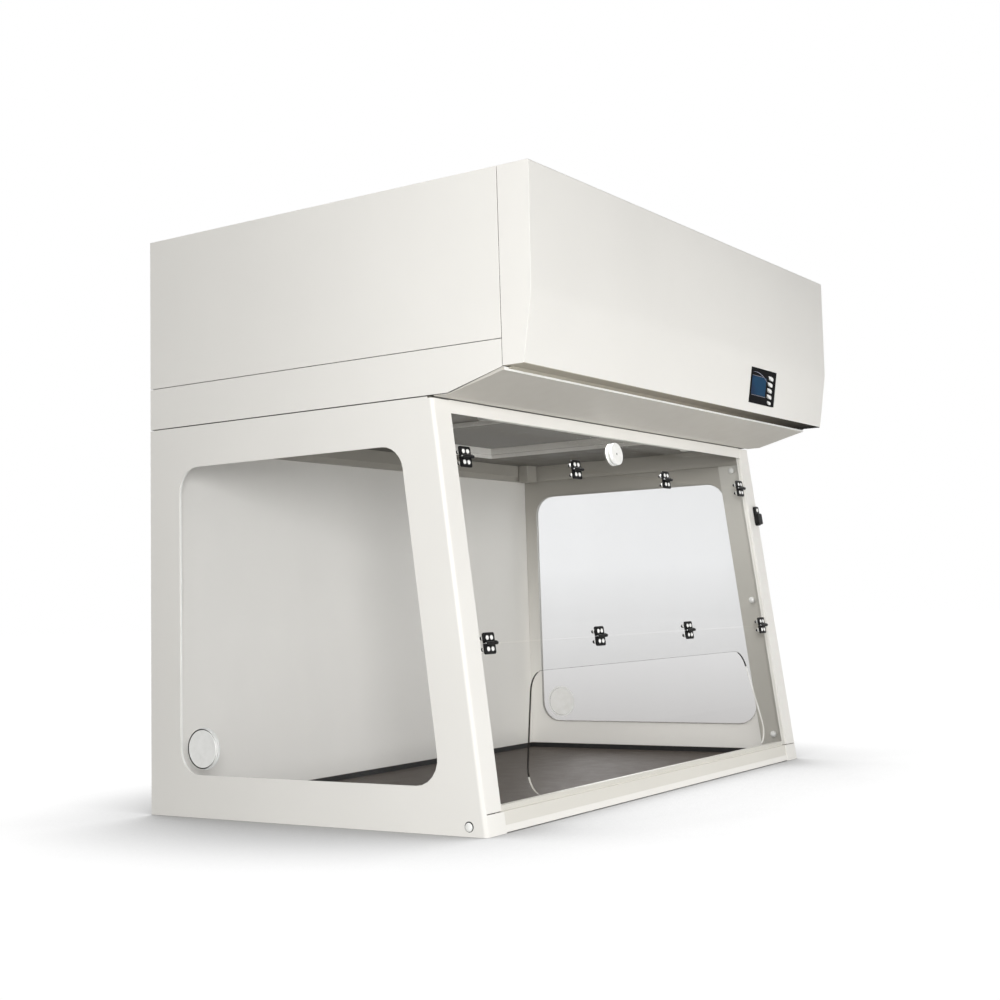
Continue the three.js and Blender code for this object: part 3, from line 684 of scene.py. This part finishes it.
def clear_pane(node):
    """Clear front sheet: faint outer edges with painted reflections, and an arm opening whose edge is part
    painted dark reflection, part painted highlight.
    """
    bm = node_shape(node)
    bevel(bm, 0.0004, 1)
    bm.normal_update()
    into_front = FRONT.inverted()
    for face in bm.faces:
        normal = (into_front.to_3x3() @ face.normal).normalized()
        face.material_index = pane_slot(into_front @ face.calc_center_median(), normal)
    materials = ["acrylic", "pane_edge", "painted_reflection_dark", "painted_highlight_bright"]
    rebuild(node, "sheet", bm, materials)


for node in ("fixed_pane", "upper_sash_pane", "lower_sash_pane"):
    clear_pane(node)


# ---- side panel fittings

def facing_out(side, y, z, x):
    """Local z points out of a side panel and local y to the rear, at x mm from the middle."""
    turn = Matrix.Rotation(math.radians(90 * side), 4, "Y")
    return Matrix.Translation((side * x / 1000, y, z)) @ turn @ MM


def across(side):
    """Outlines in (y, z), extruded outwards along x on one side, all in mm."""
    return MM @ Matrix(((0, 0, side, 0), (1, 0, 0, 0), (0, 1, 0, 0), (0, 0, 0, 1)))


def leaning(z, behind):
    """y in mm of a point that lies behind the leaning front."""
    return FOOT_Y * 1000 + z * math.tan(LEAN) + behind


def side_window(label, side):
    """Clear pane that laps the panel's opening a little; on the right side its chamber face has painted
    shade, darker towards the worktop.
    """
    node = f"side_window_{label}"
    low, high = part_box(node)
    inner, outer = across_x(node)
    trim = CAD_LAP - WINDOW_LAP
    bottom, top, rear = low.z * 1000 + trim, high.z * 1000 - trim, high.y * 1000 - trim
    near, radius = WINDOW_FRONT - WINDOW_LAP, WINDOW_RADIUS + WINDOW_LAP
    corners = ((leaning(bottom, near), bottom), (rear, bottom), (rear, top), (leaning(top, near), top))
    outline = rounded([(y, z, radius) for y, z in corners], 10)
    bm = bmesh.new()
    add_prism(bm, outline, inner, outer, across(side))
    bevel(bm, 0.0006, 2)
    bm.normal_update()
    # The pane's rim faces are opaque white: a painted highlight along the window's edge.
    outside, rim, chamber = 0, 1, 2
    for face in bm.faces:
        outward = face.normal.x * side
        on_rim = abs(outward) < FLAT_FACE
        face.material_index = rim if on_rim else (outside if outward > 0 else chamber)
    # The right pane's chamber face takes the acrylic with painted shade.
    chamber_face = "window" if side < 0 else "shaded_window"
    materials = ["window", "white_plastic", chamber_face]
    rebuild(node, "sheet", bm, materials)


def port_plug(label, side):
    """Pale lid, flush with the panel, in an eccentric black ring that is a painted shadow of the lid, and a
    white ring on the chamber side.
    """
    node = f"port_plug_{label}"
    low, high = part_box(node)
    centre = (low + high) / 2
    inner, outer = across_x(node)
    place = facing_out(side, centre.y, centre.z, 0)
    radius, boss, step = PORT_RADIUS, PORT_RADIUS - 0.4, outer - 2.3
    gap, gap_shift, ring = radius + 2.0, 1.7, radius + 4.2
    bm = bmesh.new()
    profile = [(0, outer - 0.5), (radius - 4, outer - 0.5), (radius - 3, outer), (radius - 0.8, outer),
               (radius, outer - 0.8), (radius, step), (boss, step), (boss, inner + 2.2),
               (boss - 0.4, inner + 1.9), (0, inner + 1.9)]
    add_lathe(bm, profile, place, 72)
    rebuild(node, "moulding", bm, ["white_plastic"])
    seat = bmesh.new()
    pane_face = across_x(f"side_window_{label}")[0]
    hole = circle(radius + 0.2, 72)
    # A thin black ring behind the lid's edge, shifted rearwards: a painted shadow of the lid.
    add_frame(seat, circle(gap, 72, 0, gap_shift), hole, step + 0.4, step + 0.6, place, 0)
    hole = circle(radius - 0.1, 72)
    add_frame(seat, circle(ring, 72), hole, pane_face - 1.1, pane_face - 0.3, place, 1)
    finish_piece(f"{node}_seat", seat, ["gap", "white_plastic"], "cabinet", "black_plastic")


def corner_cap(label, side):
    """White domed cap at the foot of the side panel, in an offset black ring that is a painted shadow of
    the cap.
    """
    node = f"corner_cap_{label}"
    low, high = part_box(node)
    centre = (low + high) / 2
    place = facing_out(side, centre.y, centre.z, across_x(node)[0])
    dome = [(0, 0), (7.9, 0), (8, 0.4), (7.7, 1.1), (6.8, 1.9), (5.2, 2.5), (3, 2.85), (0, 2.95)]
    bm = bmesh.new()
    add_lathe(bm, dome, place, 48)
    rebuild(node, "dome", bm, ["white_plastic"])
    rim = bmesh.new()
    # A black ring shifted to one side of the cap: a painted shadow.
    add_frame(rim, circle(9.4, 48, 0.6, -0.6), circle(8.05, 48), -0.05, 0.35, place)
    finish_piece(f"{node}_rim", rim, ["gap"], "cabinet", "black_plastic")


def glazing_strip(label, side):
    """Inner strip that holds the window, in a coat darker than the white panels as painted shade and
    lighter at the top as painted light, with three white knobs on short stems.
    """
    node = f"glazing_strip_{label}"
    low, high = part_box(node)
    bottom, top = low.z * 1000, high.z * 1000
    outer = across_x(node)[1]
    inner = outer - SHEET
    outline = [(leaning(bottom, STRIP_FRONT), bottom), (leaning(bottom, WINDOW_FRONT), bottom),
               (leaning(top, WINDOW_FRONT), top), (leaning(top, STRIP_FRONT), top)]
    bm = bmesh.new()
    add_prism(bm, outline, inner, outer, across(side))
    bevel(bm, FOLD, 2)
    rebuild(node, "sheet", bm, ["painted_shade_strip"])
    knobs = bmesh.new()
    stem = [(0, 0.1), (3.4, 0.1), (3.4, 5.2), (0, 5.2)]
    cap = [(0, 4.8), (7, 4.8), (8, 5.8), (8, 8.4), (7.4, 9.8), (5.4, 11.3), (2.8, 12), (0, 12.2)]
    for z in KNOB_HEIGHTS:
        inward = facing_out(-side, leaning(z, KNOB_BEHIND) / 1000, z / 1000, -inner)
        add_lathe(knobs, stem, inward, 24, 1)
        add_lathe(knobs, cap, inward, 36)
    finish_piece(f"{node}_knobs", knobs, ["white_plastic", "zinc"], "cabinet", "white_plastic")


for label, side in SIDES:
    side_window(label, side)
    port_plug(label, side)
    corner_cap(label, side)
    glazing_strip(label, side)


# ---- inside the chamber

def headers():
    """Folded channels that close the chamber's upper corners, in a coat darker than the white panels as
    painted shade.
    """
    rear = box_mm("back_panel")[0].y - 0.6
    inner, _ = across_x("side_window_left")
    side_face = inner - 6.1
    top = box_mm("filter_deck")[0].z - 0.6
    foot, depth = top - 42, 14
    bm = bmesh.new()
    profile = [(rear, foot), (rear, top), (rear - 26, top), (rear - 26, foot + 12), (rear - depth, foot)]
    end = side_face - depth - 0.6
    add_prism(bm, profile, -end, end, across(1))
    bevel(bm, FOLD, 2)
    finish_piece("rear_header", bm, ["painted_shade_header"], "cabinet", "white_paint")
    for label, side in SIDES:
        bm = bmesh.new()
        place = MM @ Matrix(((side, 0, 0, 0), (0, 0, 1, 0), (0, 1, 0, 0), (0, 0, 0, 1)))
        profile = [(side_face, foot), (side_face, top), (side_face - depth, top),
                   (side_face - depth, foot + 10), (side_face - 8, foot)]
        add_prism(bm, profile, leaning(top, 12), rear, place)
        bevel(bm, FOLD, 2)
        finish_piece(f"side_header_{label}", bm, ["painted_shade_header"], "cabinet", "white_paint")


def recess_lip():
    """Bright folded lip round the filter recess, and a small gusset in each rear corner in the darker coat
    of painted shade.
    """
    low, high = box_mm("prefilter")
    ceiling = box_mm("filter_deck")[0].z - 0.2
    bm = bmesh.new()
    outer = rectangle(low.x - 8, high.x + 8, low.y - 6, high.y + 6, 5)
    inner = rectangle(low.x - 3, high.x + 3, low.y - 1, high.y + 1, 3)
    add_frame(bm, outer, inner, ceiling - 9, ceiling, MM)
    bevel(bm, 0.0008, 2)
    finish_piece("recess_lip", bm, ["white_paint"], "cabinet", "white_paint")
    rear = box_mm("back_panel")[0].y - 28
    near_x, far_x, depth, drop = 622, 671, 30, 46
    gussets = bmesh.new()
    for _, side in SIDES:
        x0, x1 = sorted((side * near_x, side * far_x))
        plan = rectangle(x0, x1, rear - depth, rear, 3)
        corner = add_prism(gussets, plan, ceiling - drop, ceiling - 0.6, MM)
        bevel(gussets, 0.0012, 2, faces=corner)
    finish_piece("corner_gussets", gussets, ["painted_shade_header"], "cabinet", "white_paint")


def work_lamp():
    """Slim lamp: a painted back, a half-round diffuser and two end caps."""
    low, high = box_mm("work_lamp")
    middle, half, back = (low.y + high.y) / 2, (high.y - low.y) / 2, high.z - 7
    bm = bmesh.new()
    case = add_box(bm, low.x + 4, high.x - 4, low.y, high.y, back, high.z, MM, 0)
    bevel(bm, 0.001, 2, faces=case)
    drop = back - low.z - 0.6
    arc = [(middle + (half - 3) * math.cos(a), back - 0.1 + drop * math.sin(a))
           for a in (math.pi + math.pi * k / 20 for k in range(21))]
    add_prism(bm, arc, low.x + 4.1, high.x - 4.1, across(1), 1)
    for end in (low.x, high.x - 4):
        cap = add_prism(bm, rectangle(low.y, high.y, low.z, high.z, 5), end, end + 4, across(1), 2)
        bevel(bm, 0.0008, 2, faces=cap)
    rebuild("work_lamp", "body", bm, ["white_paint", "diffuser", "white_plastic"])


work_lamp()
headers()
recess_lip()


# ---- rear, filter and inlet details

def add_screw(bm, place, radius=4.0, height=1.9):
    """Pan-head screw with a cross recess, standing on local z = 0; the recess is a thin black cross laid on
    the head, a painted shade.
    """
    head = [(0, 0.05), (radius, 0.05), (radius, height * 0.45), (radius * 0.85, height * 0.8),
            (radius * 0.55, height), (0, height)]
    add_lathe(bm, head, place, 28, 0)
    # The cross recess is painted shade: two thin black bars on the head, not a hollow.
    for turn in (0, 90):
        arm = place @ Matrix.Rotation(math.radians(turn + 20), 4, "Z")
        add_box(bm, -radius * 0.5, radius * 0.5, -0.45, 0.45, height - 0.2, height + 0.06, arm, 1)


def spread_between(low, high, count):
    return [low + (high - low) * k / (count - 1) for k in range(count)]


def rear_screws(name, node, margin, columns, rows, behind):
    """Screws round the edge of a rear sheet; behind is the sheet's outer face as y in mm."""
    low, high = box_mm(node)
    xs = spread_between(low.x + margin, high.x - margin, columns)
    zs = spread_between(low.z + margin, high.z - margin, rows)
    to_rear = Matrix.Rotation(math.radians(-90), 4, "X")
    bm = bmesh.new()
    for x in xs:
        for z in zs:
            on_edge = x in (xs[0], xs[-1]) or z in (zs[0], zs[-1])
            if on_edge:
                add_screw(bm, MM @ Matrix.Translation((x, behind, z)) @ to_rear)
    finish_piece(name, bm, ["zinc", "gap"], "cabinet", "galvanised")


def rear_details():
    housing_face = box_mm("housing_back")[1].y
    rear_screws("housing_back_screws", "housing_back", 14, 6, 3, housing_face)
    wall_face = box_mm("back_panel")[0].y + SHEET
    rear_screws("back_panel_screws", "back_panel", 26, 6, 4, wall_face)


def inlet_pins():
    """Three flat pins in the mains inlet."""
    low, high = box_mm("power_inlet")
    x, z = (low.x + high.x) / 2, (low.z + high.z) / 2
    bm = bmesh.new()
    for dx, dz in ((-7, -2.6), (0, 2.6), (7, -2.6)):
        pin = add_box(bm, x + dx - 1, x + dx + 1, high.y - 15, high.y - 4, z + dz - 2, z + dz + 2, MM, 0)
        bevel(bm, 0.0003, 1, faces=pin)
    finish_piece("power_inlet_pins", bm, ["brass"], "cabinet", "galvanised")


def fascia_seal():
    """Soft strip that closes the gap between the underside panel's hem and the fascia's lower return, in
    the return's painted shade.
    """
    panel_low, panel_high = box_mm("underside_panel")
    cover_foot = box_mm("fascia_cover")[0].z
    half, hem_front = panel_high.x - 14, panel_low.y - 0.3
    foot, head = panel_high.z - 2.8, cover_foot - 0.5
    bm = bmesh.new()
    section = [(hem_front, foot), (hem_front, head), (hem_front - 9, head), (hem_front - 8, head - 1.1),
               (hem_front - 3, foot)]
    add_prism(bm, section, -half, half, across(1))
    bevel(bm, 0.0003, 1)
    finish_piece("fascia_seal", bm, ["return"], "cabinet", slot_of("filter_gasket"))


def carbon_filter_trim():
    """Folded metal rims round the carbon filter and two strap handles on its front."""
    low, high = box_mm("carbon_filter")
    bm = bmesh.new()
    for foot in (low.z + 0.4, high.z - 16.4):
        outer = rectangle(low.x - 1.4, high.x + 1.4, low.y - 1.4, high.y + 1.4, 4)
        inner = rectangle(low.x + 0.4, high.x - 0.4, low.y + 0.4, high.y - 0.4, 3)
        band = add_frame(bm, outer, inner, foot, foot + 16, MM, 0)
        bevel(bm, 0.0004, 1, faces=band)
    # Side view of a strap handle: distance out from the filter, and drop from its top.
    strap = ((1.6, 34), (1.6, 36.4), (16, 58), (16, 66), (1.6, 88), (1.6, 85.4), (13.6, 65), (13.6, 59))
    section = [(low.y - out, high.z - drop) for out, drop in strap]
    for x in (low.x + 150, high.x - 150):
        handle = add_prism(bm, section, x - 13, x + 13, across(1), 1)
        bevel(bm, 0.0005, 1, faces=handle)
    finish_piece("carbon_filter_trim", bm, ["galvanised", "rubber"], "cabinet", "galvanised")


rear_details()
inlet_pins()
carbon_filter_trim()
fascia_seal()


# ---- hinges of the clear front

OUT_OF_FRONT = Matrix.Rotation(math.radians(90), 4, "X")   # local z towards the user
SCREW_X = 7.0                           # mm, hinge screws from the middle of a leaf
SCREW_UP = 10.4                         # and from the hinge line


def hinge_leaf(node, x, line, up, carries_pin):
    """Plate with two screw wells, and its share of the knuckles."""
    half, reach, thick, plate_rear, split, radius = 18.5, 20, 2.7, 3.0, 7, 3.3
    place = FRONT @ Matrix.Translation((x, 0, line))
    plate_place = place @ OUT_OF_FRONT
    bm = bmesh.new()
    near, far = 0.35 * up, reach * up
    corners = [(-half, near, 0), (half, near, 0), (half, far, 4.5), (-half, far, 4.5)]
    outline = rounded(corners if up > 0 else corners[::-1], 6)
    plate = add_prism(bm, outline, -plate_rear, thick - plate_rear, plate_place)
    bevel(bm, 0.0006, 2, faces=plate)
    face = thick - plate_rear
    well = [(4.6, -0.4), (6.0, -0.4), (6.0, 0.6), (5.6, 1.0), (5.0, 1.0), (4.6, 0.6)]
    for dx in (-SCREW_X, SCREW_X):
        add_lathe(bm, well, plate_place @ Matrix.Translation((dx, SCREW_UP * up, face)), 32)
    along_x = Matrix.Rotation(math.radians(90), 4, "Y")
    spans = ((-half, -split - 0.3), (split + 0.3, half)) if carries_pin else ((-split, split),)
    for start, end in spans:
        knuckle = place @ Matrix.Translation(((start + end) / 2, HINGE_DEPTH, 0)) @ along_x
        half_span = (end - start) / 2
        add_lathe(bm, [(0, -half_span), (radius - 0.6, -half_span), (radius, 0.6 - half_span),
                       (radius, half_span - 0.6), (radius - 0.6, half_span), (0, half_span)], knuckle, 36)
        foot, head = sorted((0.5 * up, 4.4 * up))
        web = add_box(bm, start + 0.2, end - 0.2, HINGE_DEPTH + 0.6, plate_rear - 0.4, foot, head, place)
        bevel(bm, 0.0006, 2, faces=web)
    if carries_pin:
        pin = place @ Matrix.Translation((0, HINGE_DEPTH, 0)) @ along_x
        for end in (-1, 1):
            rivet = [(0, half), (1.5, half), (1.5, half + 0.7), (0.9, half + 1.1), (0, half + 1.1)]
            add_lathe(bm, [(radius_at, end * reach_at) for radius_at, reach_at in rivet], pin, 20, 1)
    rebuild(node, "body", bm, ["nylon", "zinc"], smooth=40.0)
    hinge_screws(node, plate_place, up, face)


def hinge_screws(node, plate_place, up, face):
    """White screw caps in front; a white spacer, the thread and a black cap nut behind the pane."""
    bm = bmesh.new()
    # Profiles as (radius, height): the cap from the leaf's face, the others from the pane's rear face.
    cap = ((0, -0.2), (4.4, -0.2), (4.4, 1.1), (4.0, 1.8), (2.9, 2.3), (0, 2.5))
    spacer = ((0, -0.05), (4.4, -0.05), (4.4, -3.0), (0, -3.0))
    thread = ((0, -2.6), (1.8, -2.6), (1.8, -5.4), (0, -5.4))
    nut = ((0, -3.9), (3.2, -3.9), (3.4, -4.4), (3.4, -6.6), (2.7, -7.9), (1.5, -8.6), (0, -8.8))
    turned = ((cap, face, 32, 0), (spacer, -PANE_REAR, 28, 0), (thread, -PANE_REAR, 20, 1),
              (nut, -PANE_REAR, 24, 2))
    for dx in (-SCREW_X, SCREW_X):
        place = plate_place @ Matrix.Translation((dx, SCREW_UP * up, 0))
        for profile, base, steps, slot in turned:
            add_lathe(bm, [(radius, base + height) for radius, height in profile], place, steps, slot)
    materials = ["white_plastic", "zinc", "nylon"]
    finish_piece(f"{node}_screws", bm, materials, body_of(node), "white_plastic")


for row, line in (("upper", UPPER_LINE), ("lower", LOWER_LINE)):
    for number in (1, 2, 3, 4):
        hinge = f"{row}_hinge_{number}"
        low, high = local_box(f"{hinge}_top_leaf", FRONT)
        hinge_leaf(f"{hinge}_top_leaf", (low.x + high.x) / 2, line, 1, True)
        hinge_leaf(f"{hinge}_sash_leaf", (low.x + high.x) / 2, line, -1, False)


# ---- sampling port and catch

def sampling_port():
    """Two white flanges that clamp the fixed pane, with a dark probe bore."""
    low, high = local_box("sampling_port", FRONT)
    radius, neck, bore = (high.x - low.x) / 2, 13.5, 2.5
    middle = Matrix.Translation(((low.x + high.x) / 2, 0, (low.z + high.z) / 2))
    place = FRONT @ middle @ OUT_OF_FRONT
    front, pane = 3.0, -PANE_REAR
    bm = bmesh.new()
    profile = [
        (bore, front - 1.2), (4.5, front - 1.0), (5.0, front - 0.2), (16.5, front - 0.2),
        (17.0, front - 0.5), (17.6, front - 0.5), (18.2, front), (radius - 1.5, front),
        (radius - 0.4, front - 0.4), (radius, front - 1.5), (radius, -3.0), (neck, -3.0),
        (neck, pane - 0.3), (radius, pane - 0.3), (radius, pane - 5.0), (radius - 1.2, pane - 6.4),
        (bore, pane - 6.4),
    ]
    add_lathe(bm, profile, place, 72)
    finish_piece("sampling_port_moulding", bm, ["white_plastic"], "cabinet", "white_plastic",
                 ["sampling_port"])
    sleeve = bmesh.new()
    tube, rear = bore - 0.1, -13.0
    add_lathe(sleeve, [(0, rear), (tube, rear), (tube, front - 1.6), (0, front - 1.6)], place, 24)
    finish_piece("sampling_port_sleeve", sleeve, ["rubber"], "cabinet", "black_plastic")


def sash_catch():
    """Turn catch: a rounded foot, a ribbed grip and a white pivot screw."""
    low, high = local_box("sash_catch", FRONT)
    x, half = (low.x + high.x) / 2, (high.x - low.x) / 2
    foot, head, front = low.z, high.z, -low.y
    place = FRONT @ Matrix.Translation((x, 0, 0)) @ OUT_OF_FRONT
    bm = bmesh.new()
    base = add_prism(bm, rectangle(-half + 1, half - 1, foot, head, 6), 0.3, 7, place)
    bevel(bm, 0.0012, 3, faces=base)
    grip = add_prism(bm, rectangle(-half, half, foot + 2, foot + 30, 5), 5.5, front - 0.5, place)
    bevel(bm, 0.0024, 3, faces=grip)
    for k in range(4):
        ridge = foot + 6 + 5.0 * k
        outline = rectangle(-half + 3, half - 3, ridge, ridge + 1.8, 0.8)
        bar = add_prism(bm, outline, front - 0.8, front, place)
        bevel(bm, 0.0003, 1, faces=bar)
    finish_piece("sash_catch_lever", bm, ["nylon"], "sash_catch", "black_plastic", ["sash_catch"])
    _, pivot_y, pivot_z = JOINTS["sash_catch_turn"]["pos_m"]
    pivot = (FRONT.inverted() @ Vector((x / 1000, pivot_y, pivot_z))).z
    screw = bmesh.new()
    top = place @ Matrix.Translation((0, pivot, 0))
    add_lathe(screw, [(0, 6.8), (4.8, 6.8), (4.8, 7.6), (4.2, 8.6), (2.4, 9.2), (0, 9.3)], top, 28)
    finish_piece("sash_catch_screw", screw, ["white_plastic"], "cabinet", "white_plastic")


sampling_port()
sash_catch()


# ---- control panel

OUT_OF_CONTROLS = CONTROLS @ OUT_OF_FRONT       # local x across, y up the face, z towards the user
LCD_LOW, LCD_HIGH = local_box("lcd_screen", CONTROLS)
GLASS_FACE = -local_box("control_glass", CONTROLS)[0].y
PRINT_THICK = 0.12


def print_arc(bm, centre, radius, start, end, width, steps=36):
    """Curved printed line on the control glass, drawn out to a point at both ends; angles in degrees."""
    loops = []
    for k in range(steps + 1):
        a = math.radians(start + (end - start) * k / steps)
        half = width / 2 * math.sin(math.pi * (k + 0.6) / (steps + 1.2)) ** 0.5
        section = [(radius - half, 0), (radius + half, 0), (radius + half, 1), (radius - half, 1)]
        loops.append([
            bm.verts.new(OUT_OF_CONTROLS @ Vector((centre[0] + r * math.cos(a), centre[1] + r * math.sin(a),
                                                   GLASS_FACE + level * PRINT_THICK)))
            for r, level in section
        ])
    for first, second in zip(loops, loops[1:]):
        bridge(bm, first, second)
    bm.faces.new(loops[0][::-1])
    bm.faces.new(loops[-1])


def control_panel():
    soften("control_glass", "black_glass", 0.0003, 1)
    x0, x1, t0, t1 = LCD_LOW.x, LCD_HIGH.x, LCD_LOW.z, LCD_HIGH.z
    bm = bmesh.new()
    window = add_prism(bm, rectangle(x0, x1, t0, t1, 1.0, 3), -LCD_HIGH.y, -LCD_LOW.y, OUT_OF_CONTROLS)
    bevel(bm, 0.0002, 1, faces=window)
    finish_piece("lcd_screen_window", bm, ["lcd"], "fascia", "blue_lcd", ["lcd_screen"])
    lines = bmesh.new()
    print_arc(lines, (x0 + 16, t0 - 87), 139.5, 94, 59, 1.7)
    for t, left, right in ((t1 + 0.9, x0, x1 - 20), (t0 - 1.4, x0 + 3, x1)):
        add_prism(lines, rectangle(left, right, t - 0.45, t + 0.45), GLASS_FACE, GLASS_FACE + PRINT_THICK,
                  OUT_OF_CONTROLS)
    finish_piece("control_glass_print", lines, ["print"], "fascia", "white_plastic")


# Outline of a button in mm: a leaf with its tip at the upper left.
BUTTON_SHAPE = ((-14.6, 4.4), (-8.5, 5.0), (-1.0, 4.6), (6.5, 3.6), (11.8, 1.2), (12.8, -2.0), (10.6, -4.9),
                (4.6, -4.6), (-3.0, -1.6), (-10.6, 1.6))
FULL_BUTTON = 26.0                              # mm, width of the four larger buttons


def smooth_outline(points, steps=5):
    """Closed Catmull-Rom curve through a few points."""
    outline = []
    count = len(points)
    for i in range(count):
        a, b, c, d = (Vector(points[(i + k) % count]) for k in (-1, 0, 1, 2))
        for k in range(steps):
            t = k / steps
            square, cube = 2 * a - 5 * b + 4 * c - d, 3 * b - a - 3 * c + d
            p = 0.5 * (2 * b + (c - a) * t + square * t * t + cube * t ** 3)
            outline.append((p.x, p.y))
    return outline


def buttons():
    outline = smooth_outline(BUTTON_SHAPE)
    for number in (1, 2, 3, 4, 5):
        node = f"button_{number}"
        low, high = local_box(node, CONTROLS)
        scale = (high.x - low.x) / FULL_BUTTON
        place = OUT_OF_CONTROLS @ Matrix.Translation(((low.x + high.x) / 2, (low.z + high.z) / 2, 0))
        front = -low.y
        bm = bmesh.new()
        add_dome(bm, [(u * scale, v * scale) for u, v in outline], -high.y, front - 1.0, 0.9, place, 6)
        finish_piece(f"{node}_cap", bm, ["white_plastic"], node, "white_plastic", [node], smooth=50)


control_panel()
buttons()


# ---- floor, light and camera

def floor():
    bm = bmesh.new()
    half = 30.0
    add_box(bm, -half, half, -half, half, -0.02, -0.0004, Matrix())
    mesh = bpy.data.meshes.new("floor")
    bm.to_mesh(mesh)
    bm.free()
    s = Shader("pale_floor")
    # Camera rays see a white glowing sheet with a painted contact shadow: within 0.6 m of the hood, ambient
    # occlusion blends in a grey diffuse.
    openness = s.node("ShaderNodeAmbientOcclusion", Distance=0.6).outputs["AO"]
    painted_contact_shadow = s.node("ShaderNodeBsdfDiffuse", Color=(0.55, 0.55, 0.55, 1)).outputs[0]
    sheet = s.node("ShaderNodeEmission", Color=(1, 1, 1, 1), Strength=1.02).outputs[0]
    seen = s.mix(s.span(openness, 0.5, 0.94, 0.0, 1.0), painted_contact_shadow, sheet)
    lit = s.node("ShaderNodeBsdfDiffuse", Color=(0.5, 0.5, 0.49, 1)).outputs[0]
    camera_ray = s.node("ShaderNodeLightPath").outputs["Is Camera Ray"]
    mesh.materials.append(s.done(s.mix(camera_ray, lit, seen)))
    obj = bpy.data.objects.new("floor", mesh)
    bpy.context.scene.collection.objects.link(obj)


def studio(strength):
    """White for the camera, a softer white for everything else."""
    world = bpy.data.worlds.new("studio")
    bpy.context.scene.world = world
    world.use_nodes = True
    tree = world.node_tree
    tree.nodes.clear()
    output = tree.nodes.new("ShaderNodeOutputWorld")
    mix = tree.nodes.new("ShaderNodeMixShader")
    path = tree.nodes.new("ShaderNodeLightPath")
    tree.links.new(path.outputs["Is Camera Ray"], mix.inputs[0])
    ambient, backdrop = ((1.0, 0.995, 0.985, 1), strength), ((1, 1, 1, 1), 1.0)
    for slot, (colour, power) in ((1, ambient), (2, backdrop)):
        sky = tree.nodes.new("ShaderNodeBackground")
        sky.inputs["Color"].default_value = colour
        sky.inputs["Strength"].default_value = power
        tree.links.new(sky.outputs[0], mix.inputs[slot])
    tree.links.new(mix.outputs[0], output.inputs["Surface"])


def area_light(name, position, target, size, power, spread=180):
    data = bpy.data.lights.new(name, "AREA")
    data.shape = "RECTANGLE"
    data.size, data.size_y = size
    data.energy = power
    data.spread = math.radians(spread)
    light = bpy.data.objects.new(name, data)
    light.location = position
    aim = Vector(target) - Vector(position)
    light.rotation_euler = aim.to_track_quat("-Z", "Y").to_euler()
    light.visible_camera = False
    bpy.context.scene.collection.objects.link(light)


def camera():
    data = bpy.data.cameras.new("camera")
    data.sensor_width = 36
    data.lens = 53.93
    data.shift_y = -0.07
    obj = bpy.data.objects.new("camera", data)
    yaw, pitch, roll = (math.radians(a) for a in (-56.61, 6.74, -1.75))
    level = Matrix.Rotation(yaw, 4, "Z") @ Matrix.Rotation(math.pi / 2 + pitch, 4, "X")
    position = Matrix.Translation((-2.91909, -1.8658, 0.40116))
    obj.matrix_world = position @ level @ Matrix.Rotation(roll, 4, "Z")
    bpy.context.scene.collection.objects.link(obj)
    bpy.context.scene.camera = obj


floor()
studio(0.26)
area_light("key", (-2.99, -2.08, 0.9), (0, 0, 0.6), (0.8, 0.8), 64)
area_light("left_fill", (-3.5, -1.0, 1.2), (0, 0, 0.6), (2, 2), 16)
area_light("low_fill", (0.25, -1.8, 0.1), (0.15, -0.4, 0.8), (1.0, 0.3), 15)
area_light("rear_fill", (2.6, 1.9, 1.3), (0, 0, 0.4), (1.5, 1.5), 48)
area_light("right_fill", (3.0, -0.3, 1.0), (0, 0, 0.5), (1.5, 1.5), 10)
area_light("top_fill", (0, 0.03, 1.75), (0, 0.03, 1.2), (1.4, 0.88), 1.7, spread=14)
area_light("chamber_lamp", (0, -0.2, 0.765), (0, -0.2, 0), (1.0, 0.1), 2.0)
camera()
bpy.context.scene.view_settings.view_transform = "Standard"
